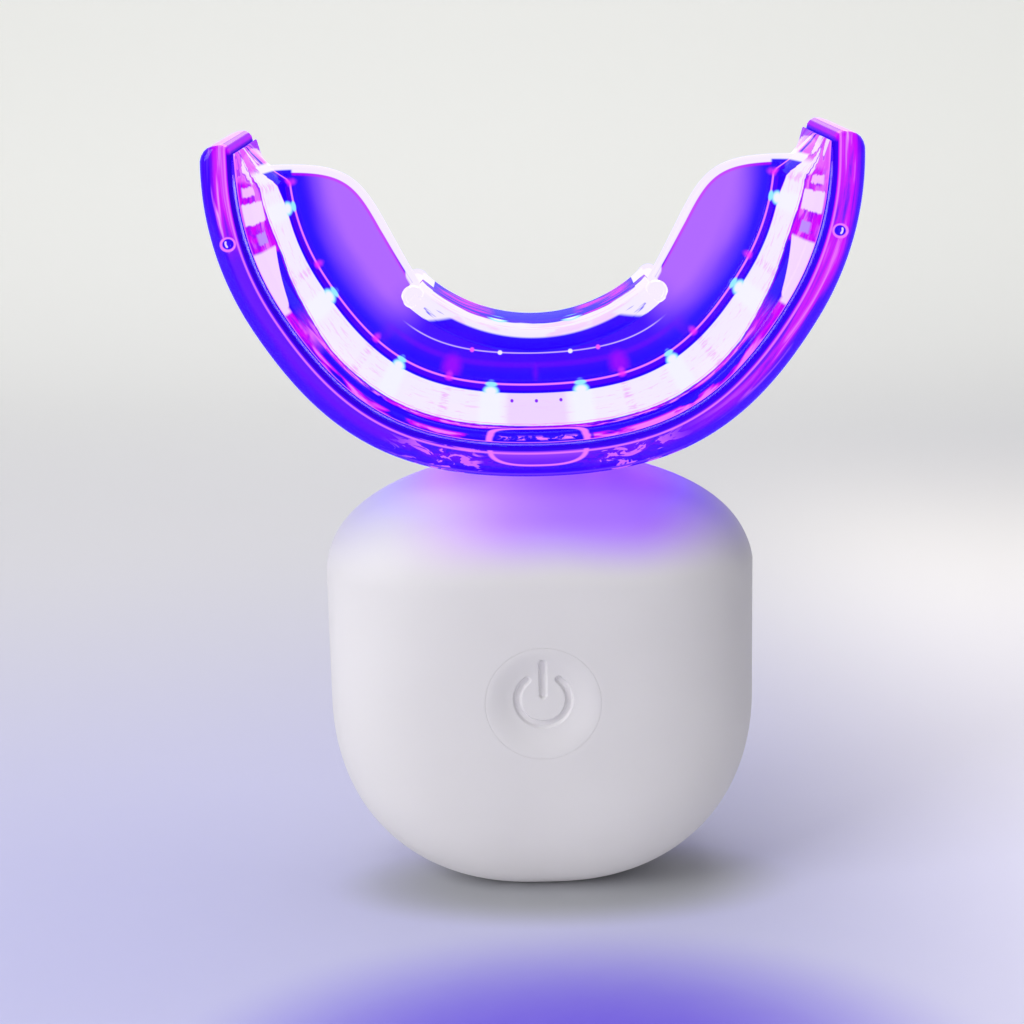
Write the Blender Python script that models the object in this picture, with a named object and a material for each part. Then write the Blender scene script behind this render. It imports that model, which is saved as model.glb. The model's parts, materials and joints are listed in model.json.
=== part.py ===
"""A light therapy mouthpiece for teeth, standing on its power housing.

Metres, +Z up. The origin is on the surface it stands on, under the middle of the housing.
+X runs along the width of the arch and -Y faces the user, on the button's side.
"""
import math

import bmesh
import bpy
from mathutils import Matrix, Vector

# Clearances
TOUCH_GAP = 0.0003
SOLDER_GAP = 0.0001
SLIDE_GAP = 0.00025
CUT_OVERRUN = 0.001

# Housing, outside
HOUSING_HALF_WIDTH = 0.0219
HOUSING_HALF_DEPTH = 0.0120
SECTION_POWER = 3.0
FOOT_WIDTH_START = 0.0201
FOOT_DEPTH_START = 0.0126
FOOT_WIDTH_CUT = 0.0006
FOOT_DEPTH_CUT = 0.0009
FOOT_POWER = 2.17
CREASE_HEIGHT = 0.0343
DOME_DROP = 0.0007
DOME_RISE = 0.0111
DOME_CUT = 0.0005
SEAT_SHARE = 0.417
SLOPE_POWER = 1.8
SECTION_POINTS = 40
FOOT_RINGS = 8
DOME_RINGS = 7
SEAT_HALF_DEPTH = SEAT_SHARE * HOUSING_HALF_DEPTH
DOME_CENTRE = CREASE_HEIGHT - DOME_DROP
DOME_TOP = DOME_CENTRE + DOME_RISE - DOME_CUT

# Housing, walls and seam
WALL = 0.0018
ROOF = 0.0020
SEAM_SHARE = 0.2
SEAM_DEPTH = SEAM_SHARE * HOUSING_HALF_DEPTH
SEAL_SKIN = 0.0007
SEAL_WIDTH = 0.0006
SEAL_HALF_DEPTH = 0.0009
SEAL_BREAK = 0.0008

# Arch of the mouthpiece
NECK_GAP = 0.0006
ARCH_HALF_WIDTH = 0.0316
ARCH_DEPTH = 0.0302
ARM_RISE = 0.0027
ARCH_STATIONS = 38
SWELL_SHARE = 0.025
SWELL_ANGLE = math.radians(60)
LINE_STEP = math.radians(0.1)
ARCH_CENTRE = DOME_TOP + NECK_GAP + ARCH_DEPTH
ARM_TOP = ARCH_CENTRE + ARM_RISE
TIP_SHARES = (0.35, 0.65, 0.85, 1.0)

# Outer band
BAND_HALF_HEIGHT = 0.0105
BAND_RIM = 0.0030
BAND_WALL = 0.0016
BAND_EDGE_RADIUS = 0.0012
BAND_TIP_RADIUS = 0.0018
POCKET_HALF_HEIGHT = 0.0087
BAND_POCKET_STOP = 0.0021
EDGE_LIMIT_SHARE = 0.42
EDGE_STEPS = 2
DIMPLE_RADIUS = 0.00055
DIMPLE_DEPTH = 0.0006
DIMPLE_INSET = 0.0016
DIMPLE_ANGLE = math.radians(76.5)

# Neck of the band
NECK_HALF_WIDTH = 0.0050
NECK_SHARE = 0.7
NECK_HALF_DEPTH = NECK_SHARE * SEAT_HALF_DEPTH
NECK_WALL = 0.0012
NECK_POWER = 2.4
NECK_POINTS = 28
FLANGE_REACH = 0.0014
FLANGE_HEIGHT = 0.0012
NECK_SEAL_HEIGHT = 0.0010
NECK_TAIL = 0.0010

# Bite tray
TRAY_HALF_HEIGHT = 0.0100
TRAY_RIM = 0.0011
TRAY_FACE = 0.0040
TRAY_ROOT = 0.0045
ROOT_HALF_HEIGHT = 0.0016
TRAY_SKIN = 0.0017
TRAY_POCKET_MID = 0.0006
TRAY_POCKET_STOP = 0.0026
TRAY_TAPER_START = 0.0037
TAPER_SHARE = 0.9
WEB_HALF_THICKNESS = 0.0006
BEAD_RADIUS = 0.0007
BEAD_POINTS = 10
BEAD_STATIONS = 12
LOBE_CLEARANCE = 0.0004
LOBE_DROP = 0.0008
LOBE_SLANT = math.radians(60)
LOBE_SIDE_PULL = 0.0110
LOBE_TOP_PULL = 0.0082
LINGUAL_RADIUS = 0.0174
LINGUAL_THICKNESS = 0.0022
LINGUAL_HALF_HEIGHT = 0.0065
LINGUAL_HALF_SPAN = 0.0119
LINGUAL_STATIONS = 14
LINGUAL_EDGE_RADIUS = 0.0008
KNOB_RADIUS = 0.0013
KNOB_POINTS = 16
TRAY_BACK = BAND_RIM + TOUCH_GAP
WEB_REACH = TRAY_BACK + (TRAY_FACE + TRAY_ROOT - TRAY_SKIN) / 2
LOBE_HALF_SPAN = ARCH_HALF_WIDTH - WEB_REACH - LOBE_CLEARANCE
LOBE_TOP = ARCH_CENTRE - LOBE_DROP

# Light strip
STRIP_THICKNESS = 0.0003
STRIP_HALF_HEIGHT = 0.0080
STRIP_STOP = 0.0032
LIGHT_THICKNESS = 0.0006
LIGHT_LENGTH = 0.0028
LIGHT_WIDTH = 0.0034
BLUE_ROW = 0.0045
RED_ROW = 0.0041
RAIL_WIDTH = 0.0006
RAIL_THICKNESS = 0.00015
RAIL_OVERLAP = 0.00015
RAIL_LIFT = 0.00005
FIRST_BLUE = math.radians(9)
FIRST_RED = math.radians(19.5)
LIGHT_PITCH = math.radians(22)
LIGHTS_PER_ARM = 4
RESISTOR_LENGTH = 0.0014
RESISTOR_WIDTH = 0.0009
RESISTOR_HEIGHT = 0.0004
RESISTOR_ROW = 0.0036
RESISTOR_PITCH = math.radians(4)
RESISTORS_BESIDE = 1
TAIL_HALF_WIDTH = 0.0026
TAIL_THICKNESS = 0.0003
TAIL_SEAT_SHARE = 0.17
TAIL_PLUG_DEPTH = 0.0016

# Power button and the switch behind it
BUTTON_HEIGHT = 0.0221
BUTTON_RADIUS = 0.0058
BUTTON_EDGE = 0.0003
BUTTON_INSET = 0.0001
DISH_DEPTH = 0.00035
DISH_FLAT_RADIUS = 0.0036
DISH_RADIUS = 0.0055
DISH_STEPS = 4
BUTTON_POINTS = 40
BUTTON_FLANGE_REACH = 0.0012
BUTTON_FLANGE_THICKNESS = 0.0008
STEM_RADIUS = 0.0015
ICON_RADIUS = 0.0026
ICON_STROKE = 0.00042
ICON_DEPTH = 0.0003
ICON_GAP = math.radians(38)
ICON_BAR_TOP = 0.0038
ICON_BAR_BOTTOM = 0.0005
ICON_STEPS = 18
ICON_END_STEPS = 4
SWITCH_SIDE = 0.0060
SWITCH_HEIGHT = 0.0033
PLUNGER_RADIUS = 0.0017
PLUNGER_STAND = 0.0014
SWITCH_WELL = 0.0010
PLUNGER_POINTS = 20

# Board
BOARD_FRONT = 0.0004
BOARD_THICKNESS = 0.0012
BOARD_MARGIN = 0.0012
BOARD_BOTTOM = 0.0055
BOARD_TOP = 0.0350
BOARD_STEPS = 9
BOSS_SPAN = 0.0142
BOSS_LOW = 0.0120
BOSS_HIGH = 0.0300
BOSS_RADIUS = 0.0021
BOSS_POINTS = 16
SCREW_RADIUS = 0.0008
SCREW_LENGTH = 0.0050
SCREW_HEAD_RADIUS = 0.0015
SCREW_HEAD_HEIGHT = 0.0009
SCREW_SLOT = 0.0004
SCREW_FIT = 0.00015
SCREW_POINTS = 12
CONNECTOR_HALF_WIDTH = 0.0038
CONNECTOR_HEIGHT = 0.0024
CONNECTOR_THICKNESS = 0.0021
CONNECTOR_TOP = 0.0341
LED_WIDTH = 0.0016
LED_HEIGHT = 0.0008
LED_THICKNESS = 0.0007
LED_DROP = 0.0052

# Chips: width, height, thickness, and centre from the board's middle line and foot
FRONT_CHIPS = {
    "controller_chip": (0.0048, 0.0048, 0.0009, 0.0105, 0.0110),
    "driver_chip": (0.0030, 0.0030, 0.0008, -0.0100, 0.0120),
    "capacitor_1": (0.0020, 0.0012, 0.0008, -0.0105, 0.0165),
    "capacitor_2": (0.0020, 0.0012, 0.0008, -0.0105, 0.0190),
    "capacitor_3": (0.0020, 0.0012, 0.0008, 0.0105, 0.0165),
    "crystal": (0.0024, 0.0016, 0.0009, 0.0075, 0.0262),
}
REAR_CHIPS = {
    "boost_coil": (0.0040, 0.0040, 0.0018, 0.0082, 0.0060),
    "charger_chip": (0.0030, 0.0028, 0.0009, -0.0082, 0.0070),
    "capacitor_4": (0.0016, 0.0010, 0.0008, -0.0082, 0.0035),
}

# Battery
CELL_HALF_WIDTH = 0.0120
CELL_BOTTOM = 0.0162
CELL_HEIGHT = 0.0178
CELL_EDGE = 0.0008
CELL_EDGE_STEPS = 2
CELL_SLACK = 0.0002
CELL_STAND_OFF = 0.0024
PAD_THICKNESS = 0.0004
PAD_HALF_WIDTH = 0.0070
PAD_MARGIN = 0.0025
LEAD_RADIUS = 0.0005
LEAD_INSET = 0.0032
LEAD_POINTS = 6
LEAD_STEPS = 5
LEAD_RISE = 0.0004
LEAD_BEND_RADIUS = 0.0009
LEAD_DROP = 0.0012

# Charging socket and its cover
PORT_HEIGHT = 0.0133
PORT_HALF_WIDTH = 0.00447
PORT_HALF_HEIGHT = 0.00163
PORT_SHELL = 0.0003
PORT_BASE = 0.0016
PORT_INSET = 0.0022
PORT_POINTS = 7
TONGUE_HALF_WIDTH = 0.0033
TONGUE_HALF_HEIGHT = 0.00035
TONGUE_INSET = 0.0021
COVER_HALF_WIDTH = 0.0066
COVER_HALF_HEIGHT = 0.0032
COVER_THICKNESS = 0.0008
COVER_INSET = 0.00015
COVER_PLUG_LENGTH = 0.0036
COVER_PLUG_WALL = 0.0004
COVER_EDGE = 0.0002

SHARP_ANGLE = math.radians(32)


def clear_scene():
    for old in list(bpy.data.objects):
        bpy.data.objects.remove(old, do_unlink=True)


def make_material(name, colour, roughness, metallic=0.0, transmission=0.0):
    material = bpy.data.materials.new(name)
    material.use_nodes = True
    shader = material.node_tree.nodes["Principled BSDF"]
    shader.inputs["Base Color"].default_value = (*colour, 1.0)
    shader.inputs["Roughness"].default_value = roughness
    shader.inputs["Metallic"].default_value = metallic
    shader.inputs["Transmission Weight"].default_value = transmission
    material.diffuse_color = (*colour, 1.0)
    return material


# Mesh helpers


def to_object(name, shape):
    bmesh.ops.recalc_face_normals(shape, faces=shape.faces)
    mesh = bpy.data.meshes.new(name)
    shape.to_mesh(mesh)
    shape.free()
    obj = bpy.data.objects.new(name, mesh)
    bpy.context.scene.collection.objects.link(obj)
    return obj


def loft(name, rings):
    """A closed solid through rings of points, with flat ends."""
    shape = bmesh.new()
    rows = [[shape.verts.new(point) for point in ring] for ring in rings]
    for low, high in zip(rows, rows[1:]):
        for k, corner in enumerate(low):
            after = (k + 1) % len(low)
            shape.faces.new((corner, low[after], high[after], high[k]))
    shape.faces.new(reversed(rows[0]))
    shape.faces.new(rows[-1])
    return to_object(name, shape)


def slab(name, outline, front, back):
    """A flat outline of (x, z) points, made thick along Y."""
    rings = [[(x, y, z) for x, z in outline] for y in (front, back)]
    return loft(name, rings)


def box(name, low, high):
    outline = [(low[0], low[2]), (high[0], low[2]), (high[0], high[2]), (low[0], high[2])]
    return slab(name, outline, low[1], high[1])


def turned(name, profile, centre_x, centre_z, points):
    """A solid turned about an axis along Y, from (radius, y) pairs."""
    turns = [math.tau * k / points for k in range(points)]
    rings = []
    for radius, y in profile:
        ring = [(centre_x + radius * math.cos(a), y, centre_z + radius * math.sin(a)) for a in turns]
        rings.append(ring)
    return loft(name, rings)


def combine(target, tool, operation):
    """Joins, cuts or trims a solid by another, which is used up."""
    modifier = target.modifiers.new(operation.lower(), "BOOLEAN")
    modifier.operation = operation
    modifier.solver = "EXACT"
    modifier.object = tool
    graph = bpy.context.evaluated_depsgraph_get()
    shaped = bpy.data.meshes.new_from_object(target.evaluated_get(graph))
    plain = target.data
    target.modifiers.clear()
    target.data = shaped
    bpy.data.meshes.remove(plain)
    bpy.data.objects.remove(tool, do_unlink=True)
    return target


def join(target, *tools):
    for tool in tools:
        combine(target, tool, "UNION")
    return target


def cut(target, *tools):
    for tool in tools:
        combine(target, tool, "DIFFERENCE")
    return target


def trim(target, tool):
    return combine(target, tool, "INTERSECT")


def finish(obj, name, material):
    obj.name = name
    obj.data.name = name
    obj.data.materials.clear()
    obj.data.materials.append(material)
    obj.data.shade_smooth()
    obj.data.set_sharp_from_angle(angle=SHARP_ANGLE)
    return obj


# Outlines


def signed_power(value, power):
    return math.copysign(abs(value) ** power, value)


def oval(half_width, half_depth, power, count):
    """Points of a rounded oval: a power of 2 is an ellipse, and a higher one is squarer."""
    points = []
    for k in range(count):
        angle = math.tau * k / count
        across = half_width * signed_power(math.cos(angle), 2 / power)
        along = half_depth * signed_power(math.sin(angle), 2 / power)
        points.append((across, along))
    return points


def stadium(half_width, half_height, steps=PORT_POINTS):
    """Points of a slot with round ends, about its middle."""
    straight = half_width - half_height
    points = []
    for side, start in ((1, -math.pi / 2), (-1, math.pi / 2)):
        for k in range(steps + 1):
            angle = start + math.pi * k / steps
            x = side * straight + half_height * math.cos(angle)
            points.append((x, half_height * math.sin(angle)))
    return points


def rounded_bar(low, high, half_height, radius):
    """Points of a bar from low to high in the first direction, with round corners."""
    radius = min(radius, (high - low) * EDGE_LIMIT_SHARE)
    corners = (
        (high - radius, half_height - radius, 0),
        (low + radius, half_height - radius, 1),
        (low + radius, radius - half_height, 2),
        (high - radius, radius - half_height, 3),
    )
    points = []
    for centre_n, centre_y, quarter in corners:
        for k in range(EDGE_STEPS + 1):
            angle = math.pi / 2 * (quarter + k / EDGE_STEPS)
            points.append((centre_n + radius * math.cos(angle), centre_y + radius * math.sin(angle)))
    return points


# Housing


def foot_share(height, start, foot_cut, inset):
    """How much of its full half size the housing keeps at a height in its rounded foot."""
    drop = start + foot_cut - inset
    depth = min(max(start - height, 0) / drop, 1)
    return (1 - depth**FOOT_POWER) ** (1 / FOOT_POWER)


def dome_share(height, inset):
    """The same for its domed top."""
    rise = DOME_RISE - inset
    above = min(max(height, CREASE_HEIGHT) - DOME_CENTRE, rise)
    return math.sqrt(1 - (above / rise) ** 2) / math.sqrt(1 - (DOME_DROP / rise) ** 2)


def housing_half_width(height, inset):
    width = (HOUSING_HALF_WIDTH - inset) * dome_share(height, inset)
    return width * foot_share(height, FOOT_WIDTH_START, FOOT_WIDTH_CUT, inset)


def housing_half_depth(height, inset):
    full = HOUSING_HALF_DEPTH - inset
    seat = SEAT_HALF_DEPTH - inset
    depth = seat + (full - seat) * dome_share(height, inset) ** SLOPE_POWER
    return depth * foot_share(height, FOOT_DEPTH_START, FOOT_DEPTH_CUT, inset)


def housing_heights(low, high):
    """Ring heights from the foot to the top, closer together where the form turns faster."""
    heights = []
    for k in range(FOOT_RINGS + 1):
        heights.append(low + (FOOT_WIDTH_START - low) * (1 - math.cos(math.pi / 2 * k / FOOT_RINGS)))
    for k in range(DOME_RINGS + 1):
        heights.append(CREASE_HEIGHT + (high - CREASE_HEIGHT) * math.sin(math.pi / 2 * k / DOME_RINGS))
    return heights


def housing_solid(inset, low, high):
    rings = []
    for height in housing_heights(low, high):
        ring = oval(
            housing_half_width(height, inset),
            housing_half_depth(height, inset),
            SECTION_POWER,
            SECTION_POINTS,
        )
        rings.append([(x, y, height) for x, y in ring])
    return loft("housing_form", rings)


def seam_outline(inset, low, high):
    """The housing's outline where the seam's plane crosses it, so far inside its surface."""
    side = []
    for height in housing_heights(low, high):
        depth_share = SEAM_DEPTH / housing_half_depth(height, inset)
        width = housing_half_width(height, inset)
        side.append((width * (1 - depth_share**SECTION_POWER) ** (1 / SECTION_POWER), height))
    return side + [(-x, z) for x, z in reversed(side)]


def seam_ring(outer_inset, inner_inset, half_depth):
    """A band that follows the seam, between two distances inside the surface."""
    front, back = SEAM_DEPTH - half_depth, SEAM_DEPTH + half_depth
    ring = slab("seam_ring", seam_outline(outer_inset, outer_inset, DOME_TOP - outer_inset), front, back)
    hollow = slab(
        "seam_hollow",
        seam_outline(inner_inset, inner_inset, DOME_TOP - inner_inset),
        front - CUT_OVERRUN,
        back + CUT_OVERRUN,
    )
    return cut(ring, hollow)


def housing_half(front_side):
    """One half of the hollow housing, up to the seam."""
    shell = housing_solid(0, 0, DOME_TOP)
    cut(shell, housing_solid(WALL, WALL, DOME_TOP - ROOF))
    reach = HOUSING_HALF_WIDTH + CUT_OVERRUN
    depth = HOUSING_HALF_DEPTH + CUT_OVERRUN
    if front_side:
        near, far = -depth, SEAM_DEPTH - TOUCH_GAP / 2
    else:
        near, far = SEAM_DEPTH + TOUCH_GAP / 2, depth
    trim(shell, box("half", (-reach, near, -CUT_OVERRUN), (reach, far, DOME_TOP + CUT_OVERRUN)))
    rebate = seam_ring(SEAL_SKIN, WALL + CUT_OVERRUN, SEAL_HALF_DEPTH + TOUCH_GAP)
    neck_hole = neck_solid("neck_hole", TOUCH_GAP, DOME_TOP - ROOF - CUT_OVERRUN, DOME_TOP + CUT_OVERRUN)
    return cut(shell, rebate, neck_hole)


def board_bosses():
    """The places of the four bosses that carry the board."""
    return [(side * BOSS_SPAN, z) for z in (BOSS_LOW, BOSS_HIGH) for side in (-1, 1)]


def make_front_shell(material):
    shell = housing_half(True)
    face = -BOARD_FRONT - TOUCH_GAP
    for x, z in board_bosses():
        boss = turned(
            "boss", [(BOSS_RADIUS, -HOUSING_HALF_DEPTH), (BOSS_RADIUS, face)], x, z, BOSS_POINTS
        )
        trim(boss, housing_solid(WALL / 2, WALL / 2, DOME_TOP - ROOF / 2))
        join(shell, boss)
    for x, z in board_bosses():
        hole = SCREW_RADIUS + SCREW_FIT
        deep = BOARD_FRONT + SCREW_LENGTH
        cut(shell, turned("pilot", [(hole, -deep), (hole, face + CUT_OVERRUN)], x, z, SCREW_POINTS))
    hole = BUTTON_RADIUS + SLIDE_GAP
    far = WALL + CUT_OVERRUN - HOUSING_HALF_DEPTH
    near = -HOUSING_HALF_DEPTH - CUT_OVERRUN
    cut(shell, turned("button_hole", [(hole, near), (hole, far)], 0, BUTTON_HEIGHT, BUTTON_POINTS))
    return finish(shell, "front_shell", material)


def make_rear_shell(material):
    shell = housing_half(False)
    cover_face = HOUSING_HALF_DEPTH - COVER_INSET - COVER_THICKNESS
    recess = stadium(COVER_HALF_WIDTH + SLIDE_GAP, COVER_HALF_HEIGHT + SLIDE_GAP)
    mouth = stadium(PORT_HALF_WIDTH + TOUCH_GAP, PORT_HALF_HEIGHT + TOUCH_GAP)
    outside = HOUSING_HALF_DEPTH + CUT_OVERRUN
    inside = HOUSING_HALF_DEPTH - WALL - CUT_OVERRUN
    cut(
        shell,
        slab("cover_recess", raised(recess, PORT_HEIGHT), cover_face - COVER_INSET, outside),
        slab("port_mouth", raised(mouth, PORT_HEIGHT), inside, outside),
    )
    return finish(shell, "rear_shell", material)


def raised(outline, height):
    return [(x, z + height) for x, z in outline]


def make_seam_gasket(material):
    gasket = seam_ring(SEAL_SKIN + TOUCH_GAP, SEAL_SKIN + TOUCH_GAP + SEAL_WIDTH, SEAL_HALF_DEPTH)
    half = NECK_HALF_WIDTH + TOUCH_GAP + SEAL_BREAK
    deep = HOUSING_HALF_DEPTH
    cut(gasket, box("neck_break", (-half, -deep, CREASE_HEIGHT), (half, deep, DOME_TOP + CUT_OVERRUN)))
    return finish(gasket, "seam_gasket", material)


# Arch


def arch_point(angle):
    """A point of the arch's outer line: an ellipse that swells between its bottom and its arms."""
    wave = math.sin(math.pi * min(abs(angle) / SWELL_ANGLE, 1))
    reach = 1 + SWELL_SHARE * wave * wave
    across, down = reach * math.sin(angle), reach * math.cos(angle)
    return Vector((ARCH_HALF_WIDTH * across, 0, ARCH_CENTRE - ARCH_DEPTH * down))


def arch_frame(angle):
    """The point of the arch's outer line at an angle from its lowest point, and the way inward."""
    ahead = arch_point(angle + LINE_STEP) - arch_point(angle - LINE_STEP)
    return arch_point(angle), Vector((-ahead.z, 0, ahead.x)).normalized()


def arch_frames(stop):
    """Frames from tip to tip of the arch, ending so far below the arms' tops."""
    end = ARM_TOP - stop
    bend = math.acos(min(max((ARCH_CENTRE - end) / ARCH_DEPTH, 0), 1))
    frames = [arch_frame(bend * (2 * k / ARCH_STATIONS - 1)) for k in range(ARCH_STATIONS + 1)]
    straight = end - ARCH_CENTRE
    if straight > 0:
        left, right = frames[0], frames[-1]
        for share in TIP_SHARES:
            lift = Vector((0, 0, straight * share))
            frames.insert(0, (left[0] + lift, left[1]))
            frames.append((right[0] + lift, right[1]))
    return frames


def sweep(name, frames, outline_at):
    """A solid along frames, whose outline of (inward, y) points may change with height."""
    rings = []
    for point, inward in frames:
        rings.append([point + inward * n + Vector((0, y, 0)) for n, y in outline_at(point.z)])
    return loft(name, rings)


def neck_solid(name, grow, low, high):
    outline = oval(NECK_HALF_WIDTH + grow, NECK_HALF_DEPTH + grow, NECK_POWER, NECK_POINTS)
    return loft(name, [[(x, y, z) for x, y in outline] for z in (low, high)])


def band_outline(height):
    """The band's section, whose outer side rounds off at the arms' tops."""
    near_top = min(max(height - ARM_TOP + BAND_TIP_RADIUS, 0), BAND_TIP_RADIUS)
    back = BAND_TIP_RADIUS - math.sqrt(BAND_TIP_RADIUS**2 - near_top**2)
    return rounded_bar(back, BAND_RIM, BAND_HALF_HEIGHT, BAND_EDGE_RADIUS)


def band_pocket_outline(height):
    high = BAND_RIM + CUT_OVERRUN
    half = POCKET_HALF_HEIGHT
    return [(BAND_WALL, -half), (high, -half), (high, half), (BAND_WALL, half)]


def make_outer_band(material):
    band = sweep("band", arch_frames(0), band_outline)
    roof_under = DOME_TOP - ROOF
    flange_top = roof_under - NECK_SEAL_HEIGHT - 2 * TOUCH_GAP
    flange_bottom = flange_top - FLANGE_HEIGHT
    bottom = flange_bottom - NECK_TAIL
    inside = DOME_TOP + NECK_GAP + BAND_WALL / 2
    join(band, neck_solid("neck", 0, bottom, inside))
    join(band, neck_solid("flange", FLANGE_REACH, flange_bottom, flange_top))
    cut(band, sweep("band_pocket", arch_frames(BAND_POCKET_STOP), band_pocket_outline))
    cut(band, neck_solid("neck_bore", -NECK_WALL, bottom - CUT_OVERRUN, inside + BAND_WALL))
    for side in (-1, 1):
        point, inward = arch_frame(side * DIMPLE_ANGLE)
        centre = point + inward * DIMPLE_INSET
        for face in (-1, 1):
            ends = (face * (BAND_HALF_HEIGHT - DIMPLE_DEPTH), face * (BAND_HALF_HEIGHT + CUT_OVERRUN))
            profile = [(DIMPLE_RADIUS, y) for y in ends]
            cut(band, turned("dimple", profile, centre.x, centre.z, SCREW_POINTS))
    return finish(band, "outer_band", material)


# Bite tray


def taper(height):
    """The share of its full thickness that the tray's wall keeps towards the arms' tops."""
    above = min(max(height - ARM_TOP + TRAY_TAPER_START, 0) / TRAY_TAPER_START, 1)
    return 1 - TAPER_SHARE * above


def tray_outline(height):
    """The tray's light wall: a rim at each edge, and faces that slant in to the bite plate."""
    keep = taper(height)
    rim, face, root = TRAY_RIM * keep, TRAY_FACE * keep, TRAY_ROOT * keep
    upper = [
        (TRAY_BACK + root, 0),
        (TRAY_BACK + root, WEB_HALF_THICKNESS),
        (TRAY_BACK + face, ROOT_HALF_HEIGHT),
        (TRAY_BACK + rim, TRAY_HALF_HEIGHT - rim / 2),
        (TRAY_BACK + rim / 2, TRAY_HALF_HEIGHT),
        (TRAY_BACK, TRAY_HALF_HEIGHT),
    ]
    return upper + [(n, -y) for n, y in reversed(upper[1:])]


def window_back(y):
    """How far inward the back of the slanted window lies at a distance from the middle plane."""
    deep = TRAY_BACK + TRAY_FACE - TRAY_SKIN
    down = max(abs(y) - TRAY_POCKET_MID, 0) / (POCKET_HALF_HEIGHT - TRAY_POCKET_MID)
    return deep + (TRAY_BACK - deep) * down


def tray_pocket_outline(height):
    half = POCKET_HALF_HEIGHT
    low = TRAY_BACK - CUT_OVERRUN
    mid = TRAY_POCKET_MID
    upper = [(window_back(0), mid), (TRAY_BACK, half), (low, half)]
    return upper + [(n, -y) for n, y in reversed(upper)]


def lingual_bend():
    return math.asin(LINGUAL_HALF_SPAN / LINGUAL_RADIUS)


def lingual_frame(angle, radius):
    across, down = math.sin(angle), math.cos(angle)
    point = Vector((radius * across, 0, ARCH_CENTRE - radius * down))
    return point, Vector((-across, 0, down))


def lobe_edge(side, share):
    """A point of a molar lobe's free edge, from the inner wall at 0 to the arm at 1, and the way out."""
    start = lingual_frame(lingual_bend(), LINGUAL_RADIUS)[0]
    end = Vector((LOBE_HALF_SPAN, 0, LOBE_TOP))
    rise = Vector((math.cos(LOBE_SLANT), 0, math.sin(LOBE_SLANT))) * LOBE_SIDE_PULL
    first, second = start + rise, end - Vector((LOBE_TOP_PULL, 0, 0))
    rest = 1 - share
    ends = start * rest**3 + end * share**3
    point = ends + 3 * rest * share * (first * rest + second * share)
    turn = (first - start) * rest**2 + (second - first) * 2 * rest * share + (end - second) * share**2
    outward = Vector((-turn.z, 0, turn.x)).normalized()
    point.x *= side
    outward.x *= side
    return point, outward


def web_outline():
    """The bite plate seen from the front: out along the arch, and back round both lobes."""
    frames = arch_frames(ARM_RISE + LOBE_DROP)
    outer = [point + inward * WEB_REACH for point, inward in frames]
    shares = [k / BEAD_STATIONS for k in range(BEAD_STATIONS, 0, -1)]
    inner = [lobe_edge(1, share)[0] for share in shares]
    bend = lingual_bend()
    for k in range(LINGUAL_STATIONS + 1):
        angle = bend * (1 - 2 * k / LINGUAL_STATIONS)
        inner.append(lingual_frame(angle, LINGUAL_RADIUS)[0])
    inner += [lobe_edge(-1, share)[0] for share in reversed(shares)]
    return [(point.x, point.z) for point in outer + inner]


def lobe_bead(side):
    """The thick rim along a molar lobe's free edge."""
    path = [lobe_edge(side, k / BEAD_STATIONS) for k in range(BEAD_STATIONS + 1)]
    end, outward = path[-1]
    path.append((end + Vector((side * BEAD_RADIUS, 0, 0)), outward))
    rings = []
    for centre, outward in path:
        ring = []
        for turn in range(BEAD_POINTS):
            angle = math.tau * turn / BEAD_POINTS
            offset = outward * math.cos(angle) + Vector((0, math.sin(angle), 0))
            ring.append(centre + offset * BEAD_RADIUS)
        rings.append(ring)
    return loft("bead", rings)


def lingual_wall():
    """The short inner wall behind the front teeth, with a round post at each end."""
    bend = lingual_bend()
    outer = LINGUAL_RADIUS + LINGUAL_THICKNESS / 2
    angles = [bend * (2 * k / LINGUAL_STATIONS - 1) for k in range(LINGUAL_STATIONS + 1)]
    bar = rounded_bar(0, LINGUAL_THICKNESS, LINGUAL_HALF_HEIGHT, LINGUAL_EDGE_RADIUS)
    wall = sweep("lingual_wall", [lingual_frame(angle, outer) for angle in angles], lambda height: bar)
    small = KNOB_RADIUS - LINGUAL_EDGE_RADIUS / 2
    tall = LINGUAL_HALF_HEIGHT
    short = tall - LINGUAL_EDGE_RADIUS / 2
    profile = [(small, -tall), (KNOB_RADIUS, -short), (KNOB_RADIUS, short), (small, tall)]
    for side in (-1, 1):
        centre = lingual_frame(side * bend, LINGUAL_RADIUS)[0]
        join(wall, turned("post", profile, centre.x, centre.z, KNOB_POINTS))
    return wall


def make_bite_tray(material):
    tray = sweep("tray", arch_frames(0), tray_outline)
    cut(tray, sweep("tray_pocket", arch_frames(TRAY_POCKET_STOP), tray_pocket_outline))
    join(
        tray,
        slab("web", web_outline(), -WEB_HALF_THICKNESS, WEB_HALF_THICKNESS),
        lobe_bead(-1),
        lobe_bead(1),
        lingual_wall(),
    )
    return finish(tray, "bite_tray", material)


# Light strip


def window_slant():
    """The slant of the window's back, from the middle plane to the edge."""
    rise = POCKET_HALF_HEIGHT - TRAY_POCKET_MID
    return math.atan2(TRAY_FACE - TRAY_SKIN, rise)


def behind_window(y, distance):
    """How far inward a point lies that is so far behind the window's back."""
    return window_back(y) - distance / math.cos(window_slant())


def strip_front():
    return TOUCH_GAP + LIGHT_THICKNESS + SOLDER_GAP


def strip_outline(height):
    half, mid = STRIP_HALF_HEIGHT, TRAY_POCKET_MID
    front, back = strip_front(), strip_front() + STRIP_THICKNESS
    upper = [
        (behind_window(mid, front), mid),
        (behind_window(half, front), half),
        (behind_window(half, back), half),
        (behind_window(mid, back), mid),
    ]
    lower = [(n, -y) for n, y in upper]
    return upper + lower[::-1]


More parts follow.
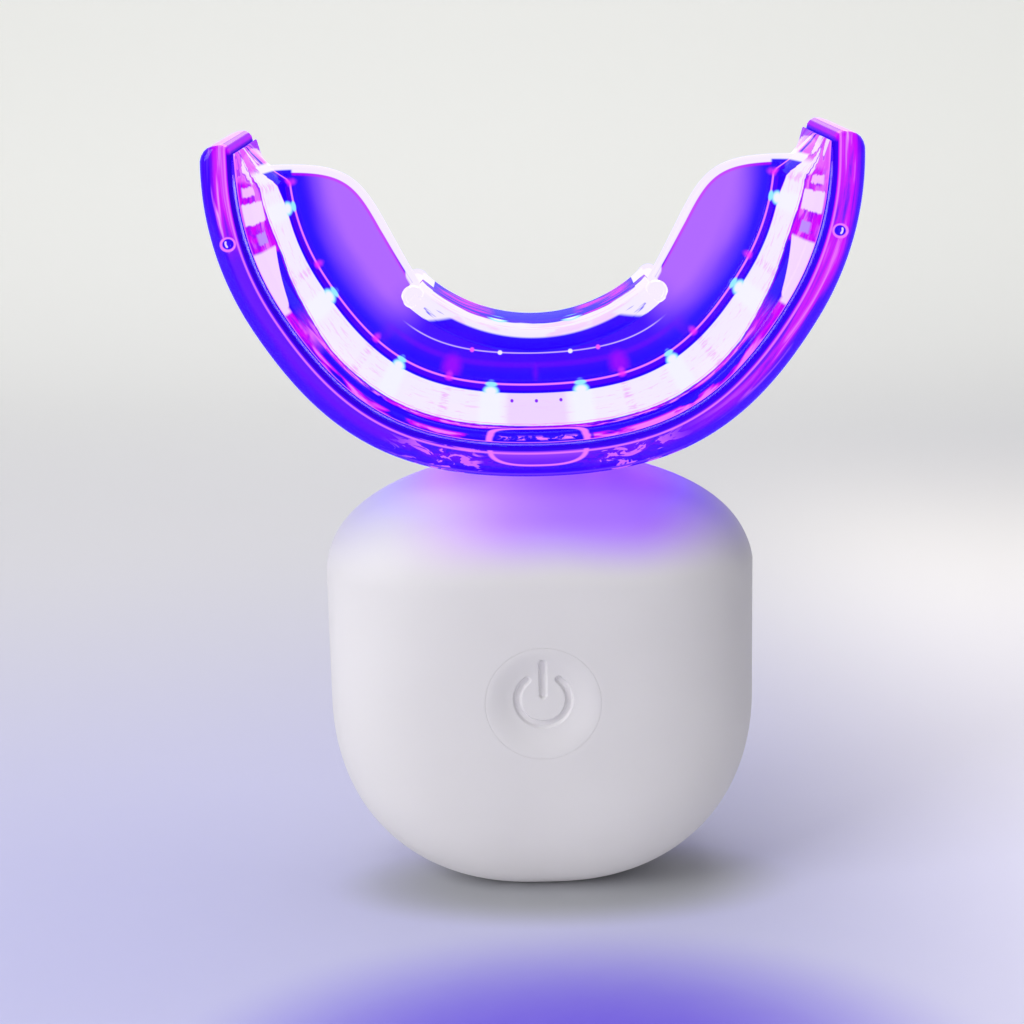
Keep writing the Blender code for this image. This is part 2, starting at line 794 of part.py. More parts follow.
def tail_depth():
    """The tail hangs in the middle of the connector's slot."""
    return -BOARD_FRONT - SOLDER_GAP - CONNECTOR_THICKNESS / 2


def make_led_strip(material):
    strip = sweep("strip", arch_frames(STRIP_STOP), strip_outline)
    y = tail_depth()
    seat = behind_window(y, strip_front()) - STRIP_THICKNESS * TAIL_SEAT_SHARE
    top = ARCH_CENTRE - ARCH_DEPTH + seat
    bottom = CONNECTOR_TOP - TAIL_PLUG_DEPTH
    half = TAIL_THICKNESS / 2
    tail = box("tail", (-TAIL_HALF_WIDTH, y - half, bottom), (TAIL_HALF_WIDTH, y + half, top))
    join(strip, tail)
    return finish(strip, "led_flex_strip", material)


def on_strip(angle, row, size, distance):
    """A block on the strip's slanted face, so far behind the window at an angle along the arch."""
    length, width, thickness = size
    point, inward = arch_frame(angle)
    side = math.copysign(1, row)
    slant = window_slant()
    down = Vector((0, side * math.cos(slant), 0)) - inward * math.sin(slant)
    facing = inward * math.cos(slant) + Vector((0, side * math.sin(slant), 0))
    along = down.cross(facing)
    seat = point + inward * window_back(row) + Vector((0, row, 0))
    centre = seat - facing * (distance + thickness / 2)
    block = box(
        "block", (-length / 2, -width / 2, -thickness / 2), (length / 2, width / 2, thickness / 2)
    )
    turn = Matrix((along, down, facing)).transposed().to_4x4()
    block.data.transform(Matrix.Translation(centre) @ turn)
    return block


def light_angles(first):
    one_side = [first + LIGHT_PITCH * k for k in range(LIGHTS_PER_ARM)]
    return [-angle for angle in reversed(one_side)] + one_side


def rail(inner, outer, side):
    """The thin conductor that joins one side's lights of a colour, between two distances in Y."""
    far = TOUCH_GAP + LIGHT_THICKNESS - RAIL_LIFT
    near = far - RAIL_THICKNESS
    section = [
        (behind_window(inner, near), side * inner),
        (behind_window(outer, near), side * outer),
        (behind_window(outer, far), side * outer),
        (behind_window(inner, far), side * inner),
    ]
    return sweep("rail", arch_frames(STRIP_STOP + RAIL_WIDTH), lambda height: section)


def make_lights(colour, first, row, rail_way, material):
    """Each side's lights of one colour, on a rail along their outer or inner edge."""
    slant = window_slant()
    middle = row - (TOUCH_GAP + LIGHT_THICKNESS) * math.sin(slant)
    edge = middle + rail_way * (LIGHT_WIDTH / 2 * math.cos(slant) - RAIL_OVERLAP)
    inner, outer = sorted((edge, edge + rail_way * RAIL_WIDTH))
    for place, side in (("front", -1), ("rear", 1)):
        lights = rail(inner, outer, side)
        for angle in light_angles(first):
            size = (LIGHT_LENGTH, LIGHT_WIDTH, LIGHT_THICKNESS)
            join(lights, on_strip(angle, side * row, size, TOUCH_GAP))
        finish(lights, f"{colour}_leds_{place}", material)


def make_resistors(material):
    behind = strip_front() - SOLDER_GAP - RESISTOR_HEIGHT
    for place, side in (("front", -1), ("rear", 1)):
        for k in range(-RESISTORS_BESIDE, RESISTORS_BESIDE + 1):
            size = (RESISTOR_WIDTH, RESISTOR_LENGTH, RESISTOR_HEIGHT)
            block = on_strip(RESISTOR_PITCH * k, side * RESISTOR_ROW, size, behind)
            number = k + RESISTORS_BESIDE + 1
            finish(block, f"strip_resistor_{place}_{number}", material)


# Power button


def groove(name, route, half_width, front, back):
    """A cutter with round ends along a route of (x, z) points."""
    left, right = [], []
    last = len(route) - 1
    for k, (x, z) in enumerate(route):
        before, after = route[max(k - 1, 0)], route[min(k + 1, last)]
        way = Vector((after[0] - before[0], after[1] - before[1])).normalized()
        side = Vector((-way.y, way.x))
        left.append(Vector((x, z)) + side * half_width)
        right.append(Vector((x, z)) - side * half_width)
    ends = []
    for centre, start in ((route[-1], left[-1]), (route[0], right[0])):
        spoke = start - Vector(centre)
        cap = []
        for k in range(1, ICON_END_STEPS):
            angle = -math.pi * k / ICON_END_STEPS
            turned_x = spoke.x * math.cos(angle) - spoke.y * math.sin(angle)
            turned_z = spoke.x * math.sin(angle) + spoke.y * math.cos(angle)
            cap.append(Vector(centre) + Vector((turned_x, turned_z)))
        ends.append(cap)
    outline = left + ends[0] + right[::-1] + ends[1]
    return slab(name, [(point.x, point.y) for point in outline], front, back)


def button_face():
    return BUTTON_INSET - HOUSING_HALF_DEPTH


def button_flange():
    return WALL + TOUCH_GAP - HOUSING_HALF_DEPTH


def plunger_tip():
    return -BOARD_FRONT - SOLDER_GAP - SWITCH_HEIGHT - PLUNGER_STAND


def make_power_button(material):
    face = button_face()
    profile = []
    for k in range(DISH_STEPS + 1):
        share = k / DISH_STEPS
        lift = DISH_DEPTH * (1 + math.cos(math.pi * share)) / 2
        profile.append((DISH_FLAT_RADIUS + (DISH_RADIUS - DISH_FLAT_RADIUS) * share, face + lift))
    flange = button_flange()
    wide = BUTTON_RADIUS + BUTTON_FLANGE_REACH
    back = flange + BUTTON_FLANGE_THICKNESS
    profile += [
        (BUTTON_RADIUS, face + BUTTON_EDGE),
        (BUTTON_RADIUS, flange),
        (wide, flange),
        (wide, back),
        (STEM_RADIUS, back),
        (STEM_RADIUS, plunger_tip() - SOLDER_GAP),
    ]
    button = turned("button", profile, 0, BUTTON_HEIGHT, BUTTON_POINTS)
    floor = face + DISH_DEPTH + ICON_DEPTH
    sweep_angle = math.tau - 2 * ICON_GAP
    ring = []
    for k in range(ICON_STEPS + 1):
        angle = math.pi / 2 + ICON_GAP + sweep_angle * k / ICON_STEPS
        ring.append((ICON_RADIUS * math.cos(angle), BUTTON_HEIGHT + ICON_RADIUS * math.sin(angle)))
    bar = [(0, BUTTON_HEIGHT + ICON_BAR_BOTTOM), (0, BUTTON_HEIGHT + ICON_BAR_TOP)]
    near = face - CUT_OVERRUN
    cut(button, groove("icon_ring", ring, ICON_STROKE, near, floor))
    cut(button, groove("icon_bar", bar, ICON_STROKE, near, floor))
    return finish(button, "power_button", material)


def make_switch(body_material, plunger_material):
    back = -BOARD_FRONT - SOLDER_GAP
    front = back - SWITCH_HEIGHT
    half = SWITCH_SIDE / 2
    body = box("switch", (-half, front, BUTTON_HEIGHT - half), (half, back, BUTTON_HEIGHT + half))
    well = PLUNGER_RADIUS + TOUCH_GAP
    hollow = [(well, front - CUT_OVERRUN), (well, front + SWITCH_WELL)]
    cut(body, turned("well", hollow, 0, BUTTON_HEIGHT, PLUNGER_POINTS))
    finish(body, "switch_body", body_material)
    profile = [(PLUNGER_RADIUS, plunger_tip()), (PLUNGER_RADIUS, front + SWITCH_WELL / 2)]
    plunger = turned("plunger", profile, 0, BUTTON_HEIGHT, PLUNGER_POINTS)
    finish(plunger, "switch_plunger", plunger_material)


# Board


def board_outline():
    """The board follows the inside of the housing, a margin away from it."""
    side = []
    for k in range(BOARD_STEPS + 1):
        height = BOARD_BOTTOM + (BOARD_TOP - BOARD_BOTTOM) * k / BOARD_STEPS
        side.append((housing_half_width(height, WALL) - BOARD_MARGIN, height))
    return side + [(-x, z) for x, z in reversed(side)]


def make_board(material):
    back = BOARD_THICKNESS - BOARD_FRONT
    board = slab("board", board_outline(), -BOARD_FRONT, back)
    hole = SCREW_RADIUS + SCREW_FIT
    ends = (-BOARD_FRONT - CUT_OVERRUN, back + CUT_OVERRUN)
    for x, z in board_bosses():
        cut(board, turned("screw_hole", [(hole, y) for y in ends], x, z, SCREW_POINTS))
    return finish(board, "control_board", material)


def chip(size, face, side):
    """A chip standing off the board's face, towards one side along Y."""
    width, height, thickness, x, z = size
    near = face + side * SOLDER_GAP
    far = near + side * thickness
    low = (x - width / 2, min(near, far), BOARD_BOTTOM + z - height / 2)
    high = (x + width / 2, max(near, far), BOARD_BOTTOM + z + height / 2)
    return box("chip", low, high)


def make_components(material):
    for name, size in FRONT_CHIPS.items():
        finish(chip(size, -BOARD_FRONT, -1), name, material)
    for name, size in REAR_CHIPS.items():
        finish(chip(size, BOARD_THICKNESS - BOARD_FRONT, 1), name, material)


def make_status_led(material):
    size = (LED_WIDTH, LED_HEIGHT, LED_THICKNESS, 0, BUTTON_HEIGHT - LED_DROP - BOARD_BOTTOM)
    return finish(chip(size, -BOARD_FRONT, -1), "status_led", material)


def make_board_screws(material):
    seat = BOARD_THICKNESS - BOARD_FRONT + SOLDER_GAP
    top = seat + SCREW_HEAD_HEIGHT
    tip = SCREW_FIT - BOARD_FRONT - SCREW_LENGTH
    profile = [
        (SCREW_RADIUS, tip),
        (SCREW_RADIUS, seat),
        (SCREW_HEAD_RADIUS, seat),
        (SCREW_HEAD_RADIUS, top),
    ]
    for number, (x, z) in enumerate(board_bosses(), start=1):
        screw = turned("screw", profile, x, z, SCREW_POINTS)
        half = SCREW_SLOT / 2
        floor = top - SCREW_HEAD_HEIGHT / 2
        for wide, tall in ((SCREW_RADIUS, half), (half, SCREW_RADIUS)):
            slot = box("slot", (x - wide, floor, z - tall), (x + wide, top + CUT_OVERRUN, z + tall))
            cut(screw, slot)
        finish(screw, f"board_screw_{number}", material)


def make_tail_connector(material):
    back = -BOARD_FRONT - SOLDER_GAP
    front = back - CONNECTOR_THICKNESS
    half = CONNECTOR_HALF_WIDTH
    bottom = CONNECTOR_TOP - CONNECTOR_HEIGHT
    body = box("connector", (-half, front, bottom), (half, back, CONNECTOR_TOP))
    slot_half = TAIL_HALF_WIDTH + TOUCH_GAP
    slot_depth = TAIL_THICKNESS / 2 + TOUCH_GAP
    y = tail_depth()
    floor = CONNECTOR_TOP - TAIL_PLUG_DEPTH - TOUCH_GAP
    high = CONNECTOR_TOP + CUT_OVERRUN
    slot = box("slot", (-slot_half, y - slot_depth, floor), (slot_half, y + slot_depth, high))
    return finish(cut(body, slot), "tail_connector", material)


# Battery


def cell_faces():
    """The cell fills the room between the parts on the board and the pad on the rear wall."""
    front = BOARD_THICKNESS - BOARD_FRONT + CELL_STAND_OFF
    back = HOUSING_HALF_DEPTH - WALL - PAD_THICKNESS - 2 * TOUCH_GAP - CELL_SLACK
    return front, back


def make_battery(cell_material, pad_material, lead_materials):
    front, back = cell_faces()
    top = CELL_BOTTOM + CELL_HEIGHT
    cell = box("cell", (-CELL_HALF_WIDTH, front, CELL_BOTTOM), (CELL_HALF_WIDTH, back, top))
    bevel = cell.modifiers.new("edges", "BEVEL")
    bevel.width = CELL_EDGE
    bevel.segments = CELL_EDGE_STEPS
    finish(cell, "battery_cell", cell_material)
    near = back + TOUCH_GAP
    low = (-PAD_HALF_WIDTH, near, CELL_BOTTOM + PAD_MARGIN)
    high = (PAD_HALF_WIDTH, near + PAD_THICKNESS, top - PAD_MARGIN)
    finish(box("pad", low, high), "battery_pad", pad_material)
    for side, (name, material) in zip((-1, 1), lead_materials.items()):
        finish(battery_lead(side * (CELL_HALF_WIDTH - LEAD_INSET)), name, material)


def battery_lead(x):
    """A wire from the cell's top edge, over and down to its pad on the board's rear face."""
    front, back = cell_faces()
    start = Vector((x, (front + back) / 2, CELL_BOTTOM + CELL_HEIGHT + TOUCH_GAP))
    pad = BOARD_THICKNESS - BOARD_FRONT + SOLDER_GAP
    fall = pad + LEAD_BEND_RADIUS
    over = (start.y - fall) / 2
    crown = start + Vector((0, -over, LEAD_RISE))
    route = [start]
    for k in range(2 * LEAD_STEPS + 1):
        angle = math.pi * k / (2 * LEAD_STEPS)
        route.append(crown + Vector((0, over * math.cos(angle), over * math.sin(angle))))
    heel = Vector((x, pad, crown.z - LEAD_DROP))
    for k in range(LEAD_STEPS + 1):
        angle = math.pi / 2 * k / LEAD_STEPS
        reach = Vector((0, math.cos(angle), -math.sin(angle))) * LEAD_BEND_RADIUS
        route.append(heel + reach)
    rings = []
    last = len(route) - 1
    for k, point in enumerate(route):
        way = (route[min(k + 1, last)] - route[max(k - 1, 0)]).normalized()
        across = Vector((1, 0, 0))
        up = across.cross(way)
        ring = []
        for turn in range(LEAD_POINTS):
            angle = math.tau * turn / LEAD_POINTS
            ring.append(point + (across * math.cos(angle) + up * math.sin(angle)) * LEAD_RADIUS)
        rings.append(ring)
    return loft("lead", rings)


# Charging socket


def make_charge_port(shell_material, contact_material):
    near = BOARD_THICKNESS - BOARD_FRONT + SOLDER_GAP
    far = HOUSING_HALF_DEPTH - PORT_INSET
    outline = raised(stadium(PORT_HALF_WIDTH, PORT_HALF_HEIGHT), PORT_HEIGHT)
    inner = raised(stadium(PORT_HALF_WIDTH - PORT_SHELL, PORT_HALF_HEIGHT - PORT_SHELL), PORT_HEIGHT)
    shell = slab("port", outline, near, far)
    cut(shell, slab("port_bore", inner, near - CUT_OVERRUN, far + CUT_OVERRUN))
    finish(shell, "charge_port", shell_material)
    fit = PORT_SHELL + SOLDER_GAP
    base = slab(
        "base",
        raised(stadium(PORT_HALF_WIDTH - fit, PORT_HALF_HEIGHT - fit), PORT_HEIGHT),
        near,
        near + PORT_BASE,
    )
    low = (-TONGUE_HALF_WIDTH, near + PORT_BASE / 2, PORT_HEIGHT - TONGUE_HALF_HEIGHT)
    high = (TONGUE_HALF_WIDTH, far - TONGUE_INSET, PORT_HEIGHT + TONGUE_HALF_HEIGHT)
    join(base, box("tongue", low, high))
    finish(base, "port_contacts", contact_material)


def make_port_cover(material):
    outer = HOUSING_HALF_DEPTH - COVER_INSET
    inner = outer - COVER_THICKNESS
    plate = raised(stadium(COVER_HALF_WIDTH, COVER_HALF_HEIGHT), PORT_HEIGHT)
    small = raised(stadium(COVER_HALF_WIDTH - COVER_EDGE, COVER_HALF_HEIGHT - COVER_EDGE), PORT_HEIGHT)
    rings = []
    for outline, y in ((plate, inner), (plate, outer - COVER_EDGE), (small, outer)):
        rings.append([(x, y, z) for x, z in outline])
    cover = loft("cover", rings)
    fit = PORT_SHELL + TOUCH_GAP
    plug = stadium(PORT_HALF_WIDTH - fit, PORT_HALF_HEIGHT - fit)
    reach = inner - COVER_PLUG_LENGTH
    join(cover, slab("plug", raised(plug, PORT_HEIGHT), reach, inner + COVER_THICKNESS / 2))
    hollow_half = PORT_HALF_WIDTH - fit - COVER_PLUG_WALL
    hollow_tall = TONGUE_HALF_HEIGHT + TOUCH_GAP / 2
    low = (-hollow_half, reach - CUT_OVERRUN, PORT_HEIGHT - hollow_tall)
    high = (hollow_half, inner, PORT_HEIGHT + hollow_tall)
    cut(cover, box("plug_slot", low, high))
    return finish(cover, "port_cover", material)


def make_neck_seal(material):
    high = DOME_TOP - ROOF - TOUCH_GAP
    low = high - NECK_SEAL_HEIGHT
    seal = neck_solid("seal", FLANGE_REACH, low, high)
    cut(seal, neck_solid("seal_bore", TOUCH_GAP, low - CUT_OVERRUN, high + CUT_OVERRUN))
    return finish(seal, "neck_seal", material)


def main():
    clear_scene()
    shell_white = make_material("shell_white", (0.83, 0.83, 0.86), 0.5)
    silicone = make_material("silicone", (0.78, 0.78, 0.82), 0.6)
    clear = make_material("clear_resin", (0.62, 0.45, 0.95), 0.12, transmission=0.9)
    make_front_shell(shell_white)
    make_rear_shell(shell_white)
    make_seam_gasket(make_material("seal_grey", (0.35, 0.35, 0.38), 0.7))
    make_neck_seal(silicone)
    make_outer_band(clear)
    make_bite_tray(clear)
    make_led_strip(make_material("strip_white", (0.92, 0.90, 0.94), 0.4))
    make_lights("blue", FIRST_BLUE, BLUE_ROW, 1, make_material("blue_light", (0.25, 0.45, 1.0), 0.3))
    make_lights("red", FIRST_RED, RED_ROW, -1, make_material("red_light", (1.0, 0.25, 0.45), 0.3))
    make_resistors(make_material("chip_black", (0.03, 0.03, 0.035), 0.4))
    make_power_button(make_material("button_white", (0.83, 0.83, 0.86), 0.5))
    switch_grey = make_material("switch_grey", (0.2, 0.2, 0.22), 0.45)
    make_switch(switch_grey, make_material("plunger_white", (0.8, 0.8, 0.8), 0.5))
    make_board(make_material("board_green", (0.02, 0.18, 0.08), 0.45))
    make_components(bpy.data.materials["chip_black"])
    make_status_led(make_material("led_cream", (0.95, 0.9, 0.7), 0.3))
    make_board_screws(make_material("screw_steel", (0.55, 0.55, 0.57), 0.3, metallic=1.0))
    make_tail_connector(make_material("connector_cream", (0.85, 0.82, 0.72), 0.5))
    foam = make_material("foam_black", (0.05, 0.05, 0.05), 0.9)
    cell = make_material("cell_foil", (0.6, 0.62, 0.65), 0.35, metallic=0.6)
    leads = {
        "battery_lead_red": make_material("lead_red", (0.6, 0.04, 0.04), 0.5),
        "battery_lead_black": make_material("lead_black", (0.03, 0.03, 0.03), 0.5),
    }
    make_battery(cell, foam, leads)
    port = make_material("port_metal", (0.7, 0.7, 0.72), 0.3, metallic=1.0)
    make_charge_port(port, bpy.data.materials["chip_black"])
    make_port_cover(silicone)


main()
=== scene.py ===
"""Visual model of a light therapy mouthpiece that stands on its power housing.

Lengths are in millimetres until a mesh is made, and the arch's angles in the materials are in
degrees. +Z is up, +X runs along the arch's width and -Y faces the user, on the button's side.
"""
import json
import math

import bpy
import numpy as np
from mathutils import Matrix, Vector


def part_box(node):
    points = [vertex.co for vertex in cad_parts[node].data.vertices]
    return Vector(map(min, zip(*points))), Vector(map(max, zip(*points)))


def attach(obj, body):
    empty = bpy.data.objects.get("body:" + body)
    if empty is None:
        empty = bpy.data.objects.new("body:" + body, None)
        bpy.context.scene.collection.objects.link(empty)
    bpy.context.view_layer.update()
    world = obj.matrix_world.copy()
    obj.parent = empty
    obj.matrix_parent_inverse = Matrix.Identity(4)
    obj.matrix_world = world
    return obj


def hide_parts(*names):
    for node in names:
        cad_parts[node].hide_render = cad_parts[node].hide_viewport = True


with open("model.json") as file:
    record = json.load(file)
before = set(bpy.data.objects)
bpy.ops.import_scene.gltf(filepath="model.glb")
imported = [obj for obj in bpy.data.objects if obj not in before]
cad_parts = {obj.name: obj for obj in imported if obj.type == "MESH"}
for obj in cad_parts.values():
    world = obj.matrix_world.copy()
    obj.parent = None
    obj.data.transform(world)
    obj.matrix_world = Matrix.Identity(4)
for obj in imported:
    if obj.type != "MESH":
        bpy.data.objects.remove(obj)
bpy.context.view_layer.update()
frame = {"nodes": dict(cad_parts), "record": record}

MM = 0.001
ROOT, BUTTON, COVER = "housing", "button", "cover"


def span(node):
    """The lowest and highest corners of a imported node, in millimetres."""
    low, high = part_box(node)
    return np.array(low) / MM, np.array(high) / MM


# Sizes taken from the frame. All later ones are the builder's own, in millimetres
SHELL_LOW, SHELL_HIGH = span("front_shell")
BAND_HIGH = span("outer_band")[1]
COVER_LOW, COVER_HIGH = span("port_cover")
BUTTON_LOW, BUTTON_HIGH = span("power_button")
HALF_WIDTH = SHELL_HIGH[0]
HALF_DEPTH = -SHELL_LOW[1]
DOME_TOP = SHELL_HIGH[2]
ARM_TOP = BAND_HIGH[2]
ARCH_HALF_WIDTH = BAND_HIGH[0]
BAND_HALF_HEIGHT = BAND_HIGH[1]
BUTTON_Z = (BUTTON_LOW[2] + BUTTON_HIGH[2]) / 2
PORT_Z = (COVER_LOW[2] + COVER_HIGH[2]) / 2

# Housing form
SECTION_POWER = 3.0
FOOT_WIDTH_START, FOOT_DEPTH_START = 20.1, 12.6
FOOT_WIDTH_CUT, FOOT_DEPTH_CUT = 0.6, 0.9
FOOT_POWER = 2.17
DOME_RISE, DOME_DROP, DOME_CUT = 11.1, 0.7, 0.5
DOME_CENTRE = DOME_TOP + DOME_CUT - DOME_RISE
CREASE = DOME_CENTRE + DOME_DROP
SEAT_SHARE, SLOPE_POWER = 0.417, 1.8
SEAT_HALF_DEPTH = SEAT_SHARE * HALF_DEPTH
WALL, ROOF = 1.8, 2.0
SEAM_Y, SEAM_SLIT = 0.2 * HALF_DEPTH, 0.03
REBATE_SKIN, REBATE_DEPTH = 0.7, 1.2
SOFT_EDGE, HAIR_EDGE = 0.14, 0.02
SHELL_TURNS, SHELL_RINGS, INNER_RINGS = 320, 96, 22
STEEP_LEVEL, FRONT_LEVELS, INNER_LEVEL = 8.0, (0.7, 1.4), 0.6
FACE_SAMPLES, SIDE_SAMPLES, HALVINGS, FILLET_STEPS = 160, 200, 34, 4
FIELD_HALVINGS = 30
LIP = ((0.0, 1.0), (0.1, 0.45), (0.4, 0.12))  # how far out and down, as shares of an edge

# Button
BUTTON_RADIUS, BUTTON_FLANGE, BUTTON_SLIT = 5.8, 7.0, 0.01
FLANGE_GAP, FLANGE_THICK, STEM_RADIUS = 0.3, 0.8, 1.5
DISH_DEPTH, DISH_FLAT, DISH_RADIUS = 0.5, 2.6, 5.78
ICON_RADIUS, ICON_HALF_STROKE, ICON_DEPTH = 2.6, 0.37, 0.34
ICON_LIFT, ICON_GAP = 0.3, math.radians(38)
ICON_BAR, ICON_SOFT, ICON_FLANK = (0.5, 3.8), 0.1, 0.24

# Charging cover and socket's mouth: half width and half height of each form, then depths
COVER_FORM, MOUTH_FORM, PLUG_FORM, SLOT_FORM = (6.6, 3.2), (4.77, 1.93), (3.87, 1.03), (3.47, 0.5)
RECESS_DEPTH, COVER_BACK, COVER_INSET, PLUG_LENGTH = 1.1, 0.95, 0.15, 3.6
PULL_DEPTH, PULL_HALF_WIDTH, PULL_HALF_HEIGHT, PULL_DROP = 0.22, 1.9, 0.55, 1.5

# Arch
ARM_RISE, ARCH_DEPTH = 2.7, 30.2
BENDS, RISERS, FADE_RUN = 150, 7, 0.5
SWELL_SHARE, SWELL_ANGLE = 0.025, math.radians(60)
LINE_STEP = math.radians(0.1)
ARCH_CENTRE = ARM_TOP - ARM_RISE
BAND_RIM, BAND_WALL = 3.0, 1.6
POCKET_HALF = 8.7
BAND_TIP_RADIUS, BAND_POCKET_STOP = 1.8, 2.1
TRAY_BACK = 3.3
BAND_EDGES = (1.2, 1.2, 0.7, 0.25, 0.4, 0.4, 0.25, 0.7)
TRAY_RIM, TRAY_FACE, TRAY_ROOT = 1.1, 4.0, 4.5
TRAY_HALF, ROOT_HALF, WEB_HALF = 10.0, 1.6, 0.6
TRAY_DEEP, POCKET_MID = 2.3, 0.6
TRAY_POCKET_STOP, TRAY_TAPER, TAPER_SHARE = 2.6, 3.7, 0.9
WINDOW_SLANT = math.atan2(TRAY_DEEP, POCKET_HALF - POCKET_MID)
TRAY_DROP, SLIM_RUN, SLIM_SHARE = 0.9, 4.0, 0.94
WEB_IN_TRAY = 3.4
LINGUAL_RADIUS, LINGUAL_THICK = 17.4, 2.2
LINGUAL_HALF, LINGUAL_SPAN = 6.5, 11.9
LINGUAL_BEND = math.asin(LINGUAL_SPAN / LINGUAL_RADIUS)
LINGUAL_END = ARCH_CENTRE - LINGUAL_RADIUS * math.cos(LINGUAL_BEND)
KNOB_RADIUS, KNOB_SOFT = 1.15, 0.45
BEAD_RADIUS, BEAD_TAIL, BEAD_LINE = 0.7, 1.5, 0.45
LOBE_X, LOBE_DROP, LOBE_SLANT = 24.5, 0.8, math.radians(60)
LOBE_SIDE_PULL, LOBE_TOP_PULL = 11.0, 8.2
WEB_SPOT, WEB_COLUMNS, WEB_CROWDING = 90.0, 34, 1.4
NECK_HALF_WIDTH, NECK_HALF_DEPTH = 5.0, 0.7 * SEAT_HALF_DEPTH
NECK_POWER, NECK_WALL, NECK_RISE, NECK_SLACK = 2.4, 1.2, 1.4, 0.3
FLANGE_REACH, FLANGE_DROP, FLANGE_HEIGHT = 1.4, 1.6, 1.2
DIMPLE_ANGLE, DIMPLE_INSET = math.radians(76.5), 1.6
DIMPLE_RADIUS, DIMPLE_DEPTH = 0.6, 0.6

# Strip and lights
STRIP_HALF, STRIP_STOP, STRIP_THICK = 8.0, 3.2, 0.3
LIGHT_SIZE = (2.8, 3.4, 0.6)
PACKAGE_STEPS = ((1.0, 0.0), (1.0, 0.72), (0.95, 0.8))
LENS_STEPS = ((1.05, 0.8), (1.0, 0.72), (0.9, 0.74), (0.7, 0.88), (0.4, 0.97), (0.05, 1.0))
TAIL_HALF_WIDTH, TAIL_Y, TAIL_SEAT = 2.6, -1.55, 0.05
BLUE_ROW, RED_ROW = 4.5, 4.1
FIRST_BLUE, FIRST_RED, LIGHT_PITCH = 9.0, 19.5, 22.0
LIGHTS_PER_ARM = 4
FIRST_FLARE, FLARE_PITCH = 9.5, 23.3
MARK_ANGLE, MARK_REACH = 5.0, 3.95
FACE_FOOT, CAP_REACH, BOWL_TOP = 4.1, 10.9, 2.95
PLATE_ROWS, PLATE_LINE = 7.3, 10.75
MATT_TONGUE = (18.8, 19.6)
HOT_START, HOT_LIMIT = 2.5, 8.6
STAND_OFF, STRIP_GAP = 0.3, 0.1
RAIL_THICK, RAIL_HEIGHT, RAIL_SINK, RAIL_STOP, RAIL_BENDS = 0.15, 0.6, 0.2, 0.6, 110


# Mesh helpers


def places(x, y, z):
    """Points from their coordinates, each of which may be one number for all."""
    return np.stack(np.broadcast_arrays(x, y, z), axis=-1)


def circle(count):
    """Cosines and sines of even steps round a circle."""
    angles = np.arange(count) * math.tau / count
    return np.cos(angles), np.sin(angles)


def of_vertices(mesh, name):
    values = np.empty(len(mesh.vertices) * 3)
    mesh.vertices.foreach_get(name, values)
    return values.reshape(-1, 3)


def make_object(name, points, faces, sharp=40):
    mesh = bpy.data.meshes.new(name)
    mesh.from_pydata((np.asarray(points, float) * MM).tolist(), [], faces)
    mesh.update()
    mesh.shade_smooth()
    mesh.set_sharp_from_angle(angle=math.radians(sharp))
    obj = bpy.data.objects.new(name, mesh)
    bpy.context.scene.collection.objects.link(obj)
    return obj


def grid_faces(rows, columns, wrap_rows=False, caps=False):
    """Quads of rings of points, which may also join the last ring to the first or be capped."""
    faces = []
    for row in range(rows if wrap_rows else rows - 1):
        low, high = row * columns, (row + 1) % rows * columns
        for k in range(columns):
            after = (k + 1) % columns
            faces.append((low + k, low + after, high + after, high + k))
    if caps:
        faces.append(tuple(reversed(range(columns))))
        faces.append(tuple(range((rows - 1) * columns, rows * columns)))
    return faces


def ring_object(name, rings, wrap_rows=False, sharp=40):
    """A closed body through rings of equally many points."""
    rings = np.asarray(rings, float)
    rows, columns = rings.shape[:2]
    faces = grid_faces(rows, columns, wrap_rows, caps=not wrap_rows)
    obj = make_object(name, rings.reshape(-1, 3), faces, sharp)
    return face_outward(obj)


def face_outward(obj):
    """Turns the faces so that the enclosed volume counts as positive."""
    mesh = obj.data
    mesh.calc_loop_triangles()
    points = of_vertices(mesh, "co")
    corners = np.empty(len(mesh.loop_triangles) * 3, int)
    mesh.loop_triangles.foreach_get("vertices", corners)
    a, b, c = (points[corners.reshape(-1, 3)[:, k]] for k in range(3))
    if np.einsum("ij,ij->i", a, np.cross(b, c)).sum() < 0:
        mesh.flip_normals()
    return obj


def combine(target, tool, operation):
    """Joins a body with another, or cuts it by the other, which is used up."""
    modifier = target.modifiers.new(operation, "BOOLEAN")
    modifier.operation = operation
    modifier.solver = "MANIFOLD"
    modifier.object = tool
    graph = bpy.context.evaluated_depsgraph_get()
    shaped = bpy.data.meshes.new_from_object(target.evaluated_get(graph))
    target.modifiers.clear()
    target.data = shaped
    bpy.data.objects.remove(tool, do_unlink=True)
    return target


def fillet(corners, radii):
    """A closed outline of (n, y) corners, each rounded by its radius."""
    corners = np.asarray(corners, float)
    points = []
    for k, corner in enumerate(corners):
        before, after = corners[k - 1] - corner, corners[(k + 1) % len(corners)] - corner
        lengths = [max(np.hypot(*way), 1e-9) for way in (before, after)]
        reach = min(radii[k], 0.45 * min(lengths))
        start = corner + before / lengths[0] * reach
        end = corner + after / lengths[1] * reach
        for s in np.linspace(0, 1, FILLET_STEPS + 1):
            points.append((1 - s) ** 2 * start + 2 * s * (1 - s) * corner + s**2 * end)
    return np.array(points)


# Housing


def foot_share(z, start, cut, inset):
    depth = np.clip((start - z) / (start + cut - inset), 0, 1)
    return (1 - depth**FOOT_POWER) ** (1 / FOOT_POWER)


